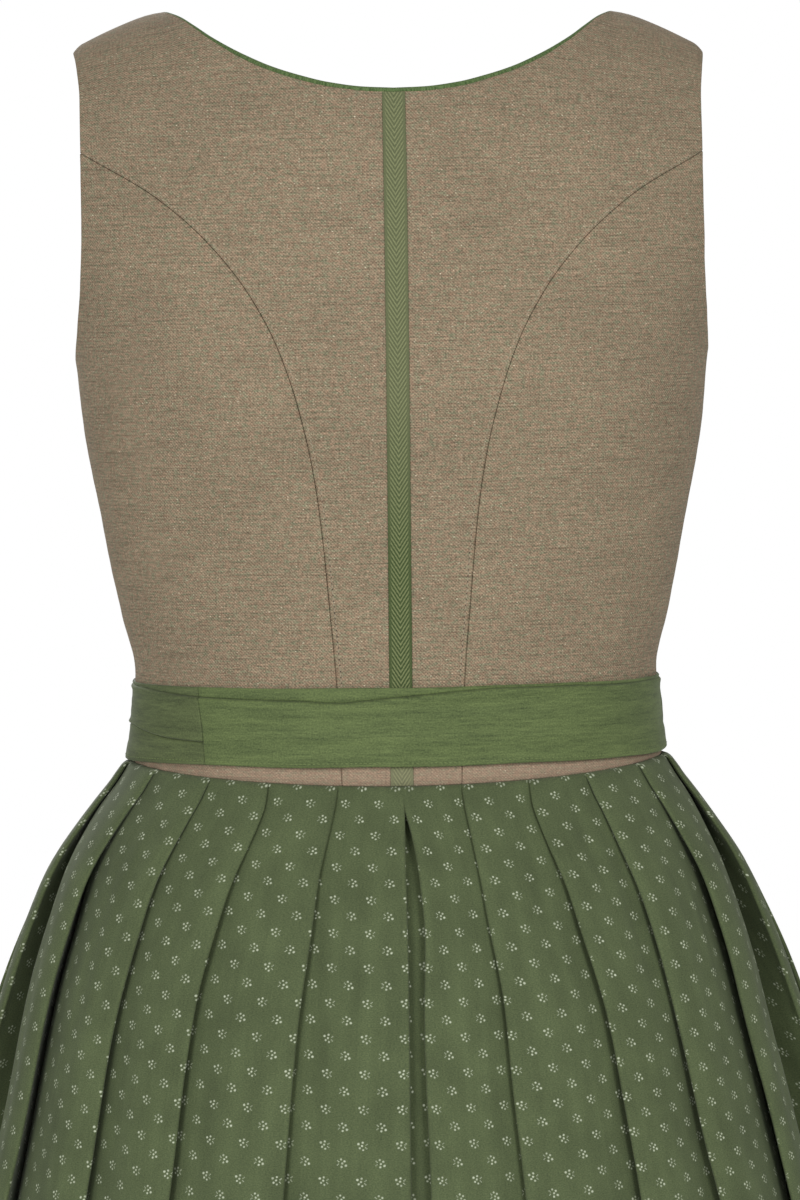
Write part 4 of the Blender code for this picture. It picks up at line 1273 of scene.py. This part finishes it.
def skirt_half(side):
    """Half the skirt from the centre back to the centre front: points, cloth chart, and the column
    where the back ends."""
    depth = skirt_depths()[:, None]
    outer = crease_lines(depth, side)
    count = len(outer) - 1
    long_side = PLEAT_VISIBLE + PLEAT_UNDER
    whole = PLEAT_VISIBLE + 2 * PLEAT_UNDER
    hem = ease((depth - OPENING_START) / (SKIRT_LENGTH - OPENING_START))
    pull = SEAM_PULL * (1.0 - np.sqrt(1.0 - (1.0 - np.minimum(depth / SEAM_CURVE, 1.0)) ** 2))
    squeeze = 1.0 - 0.65 * pull / SEAM_PULL
    # how far a panel lies under the crease that laps over it
    layer = 2 * FOLD_GAP * (1.0 + 0.6 * ease(depth / 90.0))

    # each inner crease: its turn, how far it lies inside the outer ones, and its panel's curve
    tucked = UNDERLAY_FALL + (20.0 - UNDERLAY_FALL) * hem
    inner = [(np.degrees(np.arcsin((PLEAT_UNDER - 2.5) / skirt_width(depth))), tucked, 0.0)]
    spans = []
    opened = [hem]
    for k in range(1, count):
        here = skirt_point(outer[k], depth)
        span = np.linalg.norm(here - skirt_point(outer[k - 1], depth), axis=-1)
        ahead = np.linalg.norm(skirt_point(outer[k + 1], depth) - here, axis=-1)
        wide = np.maximum(OPEN_PLEATS[k] * ease(depth / 60.0), hem)
        past = (long_side**2 - PLEAT_UNDER**2 - span**2) / (2 * span)
        past = np.minimum(np.maximum(past, -0.9 * PLEAT_UNDER), ahead - 2.5)
        past = np.minimum(past, PLEAT_UNDER - 2.0)
        fall = np.sqrt(np.maximum(PLEAT_UNDER**2 - past**2, PLEAT_STACK**2))
        fall = PLEAT_STACK + (fall - PLEAT_STACK) * np.minimum(depth / 15.0, 1.0)
        lap = np.minimum(np.maximum((whole - span) / 2, 6.0), ahead - 2.5)
        flat_fall = PLEAT_STACK + 6.0 * ease(depth / 100.0)
        covered = np.clip(span / (span + lap), 0.3, 0.93)
        bend = np.log(layer / flat_fall) / np.log(covered)
        past = lap + (past - lap) * wide
        fall = flat_fall + (fall - flat_fall) * wide
        step = np.where(
            past > 0, (outer[k + 1] - outer[k]) / ahead, (outer[k] - outer[k - 1]) / span
        )
        inner.append((outer[k] + past * step, fall, bend + (1.7 - bend) * wide))
        spans.append(span)
        opened.append(wide)
    # cloth that has rolled out of a closed fold
    rolled = (np.mean(spans[1:8], axis=0) - PLEAT_VISIBLE) / 2

    points, charts = [], []
    back_end = 0

    def lay(turn, fall, cloth_u, bulge=0.0):
        """Adds columns a fall inside the outer creases, bulging along the round of the skirt."""
        turn, fall, cloth_u, bulge = np.broadcast_arrays(
            turn, pull + fall * squeeze, cloth_u, bulge
        )
        deep = np.broadcast_to(depth, turn.shape)
        normal = skirt_normal(turn, deep)
        around = np.stack([normal[..., 1], -normal[..., 0]], axis=-1)
        laid_in = skirt_point(turn, deep) - normal * fall[..., None]
        points.append(laid_in + around * bulge[..., None])
        charts.append(cloth_u)

    ball = FOLD_GAP / 2
    arc = ball * np.pi
    # cloth measured from the centre back
    start = skirt_width(depth) * np.sin(np.radians(inner[0][0]))
    parts = np.linspace(0.0, 1.0, 9)[None, :-1]
    lay(inner[0][0] * parts, tucked, start * parts)
    for k in range(count):
        turn, fall, _ = inner[k]
        roll = rolled * (1.0 - opened[k])
        if k:
            start = start + long_side
        if k == SIDE_CREASE:
            lay(turn, fall, start)
            back_end = sum(block.shape[1] for block in points)
            lay(turn, fall - FOLD_GAP, start + arc)
        else:
            round_fall = fall - ball * (1 - np.cos(FOLD_STEPS))
            lay(turn, round_fall, start + ball * FOLD_STEPS, ball * np.sin(FOLD_STEPS))
        share = np.linspace(0.0, 1.0, 8)[None, 1:-1]
        lay(
            turn + (outer[k] - turn) * share,
            (fall - FOLD_GAP) * (1 - share) + FOLD_GAP * share,
            start + arc + (PLEAT_UNDER - roll - 2 * arc) * share,
        )
        start = start + PLEAT_UNDER
        lay(
            outer[k],
            FOLD_GAP - ball * (1 - np.cos(FOLD_STEPS)),
            start - roll - arc + ball * FOLD_STEPS,
            -ball * np.sin(FOLD_STEPS),
        )
        if k == count - 1:
            share = np.linspace(0.0, 1.0, 12)[None, 1:]
            gap = np.radians(180.0 - outer[k]) * skirt_width(depth)
            lay(outer[k] + (180.0 - outer[k]) * share, 0.0, start - roll + gap * share)
            continue
        share = np.linspace(0.0, 1.0, 20)[None, 1:-1]
        turn, fall, bend = inner[k + 1]
        belly = 1.6 * np.sin(np.pi * np.minimum(share / 0.55, 1.0)) * ease(depth / 80.0)
        trough = 0.0
        for where, pleat, middle, low, high, deep, half in PANEL_TROUGHS:
            if pleat == k and where in (0, side):
                shift = middle + 0.05 * wander(depth / 70.0, 31 * k + (1 if side > 0 else 5))
                off = (share - shift) * long_side / half
                length = np.sin(np.pi * np.clip((depth - low) / (high - low), 0, 1)) ** 0.6
                trough = trough + deep * hump(off) * length
        lay(
            outer[k] + (turn - outer[k]) * share,
            fall * share**bend - belly + trough,
            start - roll + (long_side + roll) * share,
        )

    flat = np.concatenate(points, axis=1)
    u = np.concatenate(charts, axis=1)
    sizes = (skirt_width(depth), skirt_back_depth(depth))
    turn = np.degrees(np.arctan2(flat[..., 0] / sizes[0], flat[..., 1] / sizes[1]))
    fade = 1.0 - np.minimum(depth / 300.0, 1.0)
    rise = waist_rise(turn) * fade - depth
    grid = np.concatenate([flat, rise[..., None]], axis=-1)
    drop = np.zeros_like(u)
    down = np.diff(grid, axis=0)
    flare = np.stack([np.diff(size, axis=0) for size in sizes], axis=-1)
    angle = np.radians(turn[1:])
    run = (flare[..., 0] * np.sin(angle)) ** 2 + (flare[..., 1] * np.cos(angle)) ** 2
    drop[1:] = np.cumsum(np.sqrt(down[..., 2] ** 2 + run), axis=0)
    chart = np.stack([u, -drop], axis=-1)
    swaying = 0.9 * wander(depth / 90.0 + turn / 40.0, 3 if side > 0 else 4)
    grid[..., 0] += swaying * ease(depth / 60.0)
    fuller = 1.019 if side > 0 else 1.010
    grid[..., :1] *= 1.0 + (fuller - 1.0) * ease(depth / 40.0)[..., None]
    if side < 0:
        grid[..., 0] *= -1.0
        chart[..., 0] *= -1.0
    return grid, chart, back_end


def make_skirt(material):
    """The back, from side crease to side crease, and the front."""
    left, left_chart, split = skirt_half(1.0)
    right, right_chart, _ = skirt_half(-1.0)
    pairs = ((left, right), (left_chart, right_chart))
    sheets = {
        "back": [
            np.concatenate([r[:, split - 1 : 0 : -1], l[:, :split]], axis=1) for l, r in pairs
        ],
        "front": [
            np.concatenate([l[:, split:], r[:, -2 : split - 1 : -1]], axis=1) for l, r in pairs
        ],
    }
    # the right half's cloth coordinates go on from the left's past the centre front
    half = left.shape[1] - split
    sheets["front"][1][:, half:, 0] += 2 * left_chart[:, -1:, 0]
    for part, (points, chart) in sheets.items():
        piece = cloth(f"printed_skirt_{part}", points, chart, PLEAT_WALL, material)
        width = float(np.abs(chart[0, -1, 0] - chart[0, 0, 0])) * MM
        length = float(-chart[-1, :, 1].mean()) * MM
        keep(
            piece, "skirt_cotton", f"skirt_{part}",
            flat=(round(width, 3), round(length, 3)), held="gathered", rests_on=["waist_seam"],
        )


# ---------------------------------------------------------------- apron, band and bow

BAND_WALL = 0.8


def band_lift(turn):
    """The band lies closest at the sides, and higher over the placket and under the knot."""
    return 3.0 + 0.8 * ease((np.abs(signed(turn)) - 95.0) / 40.0)


def snug(turn):
    """How tight the band's upper edge is drawn at the sides, from 0 to 1."""
    return hump((np.abs(signed(turn)) - 88.0) / 26.0)


def band_low(turn):
    """Rise of the band's lower edge, which lifts toward the wearer's right."""
    drawn_up = 1.3 * ease((-turn - 30.0) / 50.0) * (turn > -100.0)
    return BAND_LOW + 0.5 * wander(turn / 14.0, 21) + drawn_up


def band_high(turn):
    drawn_down = 0.3 * ease((-turn - 40.0) / 40.0) * (turn > -100.0)
    return BAND_HIGH + 0.4 * wander(turn / 17.0, 22) - drawn_down


def fold_rise(turn):
    """Rise of the edge of the band's folded top."""
    return band_high(turn) - np.maximum(band_fold(turn), 1.8)


def band_surface(turn, rise, creased):
    """Lift of the band's middle: a top strip behind a folded edge, and one creased part."""
    low, high = band_low(turn), band_high(turn)
    level = np.clip((rise - low) / (high - low), 0.0, 1.0)
    above = rise - fold_rise(turn)
    shallow = 1.0 - 0.6 * snug(turn)
    lift = band_lift(turn) - 1.5 * snug(turn) * ease(level * 1.4)
    lift = lift - shallow * (0.7 * ease(above / 0.6 + 0.5) + 0.9 * hump((above - 0.5) / 0.55))
    lift = lift + 0.5 * hump((above + 0.9) / 0.8)
    if creased:
        under_line = tie_crease(turn) - rise
        behind = 0.9 * shallow * ease(under_line / 0.5 + 0.5)
        lift = lift - behind * ease(1.0 - (under_line - 1.0) / 14.0)
        lift = lift - 1.2 * shallow * hump((under_line - 0.4) / 0.45)
        lift = lift + 0.5 * hump((under_line + 1.0) / 0.9)
    lift = lift + 0.35 * wander(rise / 5.0 + turn / 25.0, 23) * np.sin(np.pi * level) ** 0.5
    lift = lift + 0.22 * wander(rise / 1.7 - turn / 40.0, 24) * np.sin(np.pi * level)
    return lift + 0.4 * wander(turn / 5.0, 25) * (1 - level) ** 3


def band_grid(start, stop, columns, creased):
    """Part of the band between two turns, with rows close together at its fold and its crease."""
    turn = np.linspace(start, stop, columns)[None, :]
    low, high, fold, crease = band_low(turn), band_high(turn), fold_rise(turn), tie_crease(turn)
    marks = (low, crease - 1.4, crease + 0.8, fold - 0.8, fold + 1.4, high)
    rows = [low]
    for near, far, count in zip(marks[:-1], marks[1:], (10, 11, 12, 11, 5)):
        rows.append(near + (far - near) * np.linspace(0.0, 1.0, count)[1:, None])
    rise = np.concatenate(rows)
    # the join between the band and the tie leans
    lean = 3.2 * hump((turn - BAND_JOIN) / 6.0)
    turn = turn + lean * ((rise - low) / (high - low) - 0.5)
    points = wrap_point(turn, rise, band_surface(turn, rise, creased))
    return points, np.stack([np.radians(turn) * 112.0, rise], axis=-1)


def make_band(band_cotton, tie_lighter_tone):
    gap = 0.04
    # the tie takes the band's own cloth in a lighter tone: painted light
    for name, start, stop, columns, creased, material, width in (
        ("apron_band", BAND_JOIN + gap, 360.0 + KNOT_TURN - gap, 200, True, band_cotton, 0.345),
        ("apron_tie", KNOT_TURN + gap, BAND_JOIN - gap, 240, False, tie_lighter_tone, 0.412),
    ):
        points, chart = band_grid(start, stop, columns, creased)
        points, chart = turn_in(points, chart, [(edge, 0.2, 0.8, 0.0) for edge in EDGES], BAND_WALL)
        piece = cloth(f"cotton_{name}", points, chart, BAND_WALL, material)
        keep(
            piece, "apron_cotton", name,
            flat=(width, 0.0395), held="stretched", rests_on=["bodice"],
        )


def make_band_stitches(thread):
    turn = np.linspace(-146.0, 206.0, 900)
    rise = band_low(turn) + 2.0
    lift = band_surface(turn, rise, False) + BAND_WALL / 2
    points = wrap_point(turn, rise, lift)
    outward = unit(wrap_point(turn, rise, lift + 2.0) - points)
    piece = sewn("band_stitches", [(points, outward)], 2.3, thread, None, 0.42, 0.22)
    keep(piece, "apron_cotton")


def apron_grid():
    """Gathered under the band in front, and hanging clear of the pleats."""
    columns = APRON_GATHERS * 18 + 1
    across = np.linspace(-1.0, 1.0, columns)[None, :]
    turn = 180.0 + APRON_TURN * across
    phase = np.pi / 2 * APRON_GATHERS * 2 * (across + 1.0)
    wave = np.cos(phase + 0.5 * wander(across * 7.0, 51))
    # depth below the waist seam, lift from the bodice
    top = np.array([(-7.6, 3.9), (-6.6, 6.6), (-5.2, 8.9), (-3.4, 10.6), (-1.5, 11.9)])
    t = np.linspace(0.0, 1.0, 84)
    low = 1.5 + (APRON_LENGTH - 1.5) * (0.35 * t + 0.65 * t**1.8)
    rows = []
    for depth, lift in top:
        small = 0.5 * wander(across * 60.0, 52) * ease((depth + 7.6) / 4.0)
        rows.append(wrap_point(turn, np.full_like(turn, -depth), lift + 0.8 * wave + small)[0])
    for depth in low:
        swing = 2.3 + 5.2 * depth / APRON_LENGTH
        deep = np.full_like(turn, depth)
        small = 1.1 * wander(across * 60.0 + depth / 160.0, 52) * (1.0 - ease(depth / 170.0))
        fold = 1.2 * wander(across * 19.0 + depth / 240.0, 53) * ease(depth / 120.0)
        uneven = swing * wave * (1.0 + 0.18 * wander(across * 11.0, 54))
        out = 4.5 + swing + uneven + small + fold + 0.8
        flat = skirt_point(turn, deep, out)[0]
        rows.append(np.concatenate([flat, -deep[0][:, None]], axis=-1))
    points = np.stack(rows)
    lengths = np.cumsum(np.linalg.norm(np.diff(points, axis=0), axis=-1), axis=0).mean(axis=1)
    drop = np.concatenate([[0.0], lengths])
    widths = run_lengths(points[40])
    chart = paired(widths[None, :] * 1.5, -drop[:, None])
    return points, chart


def make_apron(material, thread):
    points, chart = apron_grid()
    turnings = [(edge, 0.4, 1.2, 0.0) for edge in ("first_column", "last_column", "last_row")]
    inner_points, inner_chart = turn_in(points, chart, turnings, BAND_WALL)
    piece = cloth("cotton_apron_panel", inner_points, inner_chart, BAND_WALL, material)
    keep(
        piece, "apron_cotton", "apron_panel",
        flat=(0.70, 0.685), held="gathered", rests_on=["apron_band"],
    )
    normals = outward_normals(points)
    raised = points + normals * (BAND_WALL / 2)
    runs = [
        (raised[4:, 3], normals[4:, 3]),
        (raised[4:, -4], normals[4:, -4]),
        (raised[-4], normals[-4]),
    ]
    stitches = sewn("apron_hem_stitches", runs, 3.0, thread)
    keep(stitches, "apron_cotton")


def smooth_rows(stations, count):
    """Stations of a table resampled evenly along a smooth line."""
    table = np.array(stations, dtype=float)
    steps = np.arange(len(table), dtype=float)
    at = np.linspace(0.0, len(table) - 1.0, count)
    return [curve(np.stack([steps, table[:, c]], axis=-1))(at) for c in range(table.shape[1])]


def make_loops(material):
    """The bow's two loops, strips that run out from the knot and back, pleated at it."""
    # distance from the knot's middle, lift above the band, half the strip's width, droop
    stations = (
        (11.5, 8.6, 8, 0), (26, 14, 12, 0.5), (45, 18, 14.5, 1.5), (64, 18, 16, 2.2),
        (78, 15.5, 16, 2.8), (85, 11, 16, 3), (83, 6.5, 16, 3), (72, 4.2, 16, 2.5),
        (52, 4, 15, 1.5), (30, 4.6, 12, 0.5), (11.5, 6.6, 8, 0),
    )
    along, lift, half, droop = (row[None, :] for row in smooth_rows(stations, 96))
    across = np.linspace(-1.0, 1.0, 34)[:, None]
    middle = (BAND_LOW + BAND_HIGH) / 2
    for name, side in (("left", -1.0), ("right", 1.0)):
        per_mm = TURN_PER_MM if side > 0 else 0.965 * TURN_PER_MM
        pinch = hump((along - 8.0) / 34.0)
        folds = 0.9 * pinch * np.cos(across * 3.4 * np.pi + 0.6 * side)
        folds = folds + 0.4 * wander(across * 3.0 + along / 30.0, 61)
        reach = np.minimum((lift - 3.9) / 3.0, 1.0)
        belly = 1.5 * (1.0 - across**2)
        turn = KNOT_TURN + side * along * per_mm
        rise = middle + across * half - droop
        away = BAND_LIFT + lift + belly + folds * np.clip(reach, 0.15, 1.0)
        points = wrap_point(turn + 0 * rise, rise, away)
        lengths = run_lengths(points[17])
        chart = paired(lengths[None, :], across * 16.0)
        piece = cloth(f"cotton_bow_loop_{name}", points, chart, BAND_WALL, material)
        keep(
            piece, "apron_cotton", f"bow_loop_{name}",
            flat=(0.172, 0.034), held="folded", rests_on=["bow_knot"],
        )


def make_tails(material):
    """The tied band's two ends, hanging from the knot over the apron."""
    # rise, half the strip's width, distance from the knot's middle, lift from the bodice or skirt
    stations = (
        (13.1, 5, 5.6, 7.7), (8, 6, 7, 11), (3, 7, 8.2, 15.4), (-6, 9, 10.4, 10.2),
        (-30, 13, 15, 10.8), (-70, 16.5, 20, 11.6), (-125, 18.5, 24, 12.6), (-185, 18.5, 27, 13.8),
        (-250, 18.5, 30, 15.2),
    )
    for name, side in (("left", -1.0), ("right", 1.0)):
        rises = stretches(13.1, (3.0, 12), (-6.0, 12), (-250.0, 84))
        order = np.array(stations)[::-1]
        half, shift, lift = (
            curve(np.stack([order[:, 0], order[:, c]], -1))(rises)[:, None] for c in (1, 2, 3)
        )
        rise = rises[:, None]
        across = np.linspace(-1.0, 1.0, 26)[None, :]
        pinch = hump((rise - 8.0) / 60.0)
        flutter = 0.7 * wander(across * 2.0 - rise / 45.0, 71 + int(side))
        folds = 0.8 * pinch * np.cos(across * 2.6 * np.pi + side) + flutter * ease(-rise / 60.0)
        away = lift + 1.2 * (1.0 - across**2) * np.minimum(half / 18.0, 1.0)
        away = away + np.maximum(folds, -0.5)
        turn = side * (shift + side * across * half) * TURN_PER_MM
        high = wrap_point(KNOT_TURN + turn, rise + 0 * turn, away)
        depth = np.maximum(-rise, 0.0) + 0 * turn
        flat = skirt_point(KNOT_TURN + turn * 140.0 / skirt_width(depth), depth, away)
        hanging = np.concatenate([flat, (rise + 0 * turn)[..., None]], axis=-1)
        joined = ease((3.0 - rise) / 9.0)[..., None]
        points = high * (1 - joined) + hanging * joined
        lengths = run_lengths(points[:, 13])
        chart = paired(-lengths[:, None], across * 18.0)
        piece = cloth(f"cotton_bow_tail_{name}", points, chart, BAND_WALL, material)
        keep(
            piece, "apron_cotton", f"bow_tail_{name}",
            flat=(0.038, 0.275), held="hung", rests_on=["bow_knot"],
        )


def make_knot(material):
    """The band's turn round the bow's middle, with soft folds across it."""
    half_x, half_y, half_z = 11.0, 6.0, 14.0
    centre = wrap_point(
        np.array(KNOT_TURN), np.array((BAND_LOW + BAND_HIGH) / 2), np.array(BAND_LIFT + 7.7)
    )
    rows, columns = 40, 64
    across = np.linspace(-1.0, 1.0, rows)[:, None]
    angle = np.linspace(0.0, 2 * np.pi, columns, endpoint=False)[None, :]
    square = 4.0  # higher is squarer
    round_ = (np.abs(np.cos(angle)) ** square + np.abs(np.sin(angle)) ** square) ** (-1 / square)
    taper = (1.0 - np.abs(across) ** 5) ** 0.5
    waist = 1.0 - 0.08 * (1 - across**2)
    fold = 1.0 + 0.035 * np.cos(across * 9.0 + 1.3 * np.sin(angle)) * (1 - across**4)
    x = half_x * across
    y = half_y * np.cos(angle) * round_ * taper * fold * 0.97
    z = half_z * np.sin(angle) * round_ * taper * waist * fold * 0.97
    x, y, z = np.broadcast_arrays(x, y, z)
    lean = np.radians(-(KNOT_TURN + 180.0))
    leaned = (x * np.cos(lean) - y * np.sin(lean), x * np.sin(lean) + y * np.cos(lean), z)
    points = centre + np.stack(leaned, -1)
    faces = closed_rings(rows, columns)
    chart = paired(angle * 10.0, x)
    piece = new_piece("cotton_bow_knot", points, faces, material, chart.reshape(-1, 2))
    piece = finished(piece, 0.0)
    keep(piece, "apron_cotton", "bow_knot")


# ---------------------------------------------------------------- stage

CAMERA_DISTANCE = 3200.0
CAMERA_RISE = 250.0
CAMERA_ASIDE = 84.0
AIM = (-2.5, 0.0, 85.3)
SEEN_HEIGHT = 600.0  # of the plane through the side seams
LONG_SIDE = 36.0  # of the sensor
CAMERA_ROLL = -0.73
FLOOR_LEVEL = -1.30
STUDIO_AMBIENT = 0.32


def add_camera():
    camera = bpy.data.objects.new("camera", bpy.data.cameras.new("camera"))
    bpy.context.scene.collection.objects.link(camera)
    camera.location = place((CAMERA_ASIDE, CAMERA_DISTANCE, CAMERA_RISE))[0]
    towards = Vector(place(AIM)[0]) - camera.location
    camera.rotation_mode = "QUATERNION"
    roll = Matrix.Rotation(np.radians(CAMERA_ROLL), 4, "Z")
    turned = towards.to_track_quat("-Z", "Y").to_matrix().to_4x4() @ roll
    camera.rotation_quaternion = turned.to_quaternion()
    camera.data.sensor_width = LONG_SIDE
    camera.data.lens = LONG_SIDE * CAMERA_DISTANCE / SEEN_HEIGHT
    camera.data.clip_end = 100.0
    bpy.context.scene.camera = camera


def add_light(name, place_, size, power):
    light = bpy.data.objects.new(name, bpy.data.lights.new(name, "AREA"))
    bpy.context.scene.collection.objects.link(light)
    light.location = place_
    light.data.size = size
    light.data.energy = power
    middle = Vector((0.0, 0.0, -0.45))
    light.rotation_mode = "QUATERNION"
    light.rotation_quaternion = (middle - light.location).to_track_quat("-Z", "Y")


def make_stage():
    deselect()
    bpy.ops.mesh.primitive_circle_add(
        vertices=64, radius=3.2, fill_type="NGON", location=(0, 0, FLOOR_LEVEL)
    )
    floor = bpy.context.object
    floor.name = "floor"
    floor.data.materials.append(painted_floor())
    world = bpy.data.worlds.new("studio")
    world.use_nodes = True
    tree = world.node_tree
    white = (1.0, 1.0, 1.0, 1.0)
    tree.nodes["Background"].inputs["Color"].default_value = white
    tree.nodes["Background"].inputs["Strength"].default_value = STUDIO_AMBIENT
    seen = add(tree, "Background", {"Color": white, "Strength": 1.0})
    rays = add(tree, "LightPath")
    inputs = {0: rays.outputs["Is Camera Ray"], 1: tree.nodes["Background"], 2: seen}
    both = add(tree, "MixShader", inputs)
    tree.links.new(both.outputs[0], tree.nodes["World Output"].inputs["Surface"])
    bpy.context.scene.world = world
    bpy.context.scene.view_settings.view_transform = "Standard"
    add_light("key", (-1.55, 3.0, 1.0), 1.3, 46.5)
    add_light("fill", (1.7, 3.0, 0.3), 1.3, 41.5)
    add_light("front", (0.6, -3.2, 1.4), 2.2, 70.0)


def main():
    linen = linen_chambray()
    print_cotton = printed_cotton()
    # painted light and shade: the band and its tie are one cloth, in a darker and a lighter tone
    band_cotton = slub_cotton("slub_cotton", "#3A4427", "#697649")
    tie_lighter_tone = slub_cotton("slub_cotton_tie_lighter_tone", "#3C4A28", "#70804C")
    tape = herringbone_tape()
    piping = bias_cotton()
    horn = polished_horn()
    linen_thread = sewing_thread("linen_thread", "#B4A68D")
    # painted shade: dark dots that stand for the needle holes
    needle_hole_shade = sewing_thread("needle_hole_shade", "#52473A")
    green_thread = sewing_thread("green_thread", "#75864F")

    make_bodice(linen)
    make_tape(tape)
    make_placket(linen)
    make_piping(piping)
    make_bodice_stitches(linen_thread, needle_hole_shade)
    make_placket_stitches(linen_thread, needle_hole_shade)
    make_buttons(horn, linen_thread, linen_thread)
    make_skirt(print_cotton)
    make_band(band_cotton, tie_lighter_tone)
    make_band_stitches(green_thread)
    make_apron(band_cotton, green_thread)
    make_knot(band_cotton)
    make_loops(band_cotton)
    make_tails(band_cotton)
    make_stage()
    add_camera()


main()
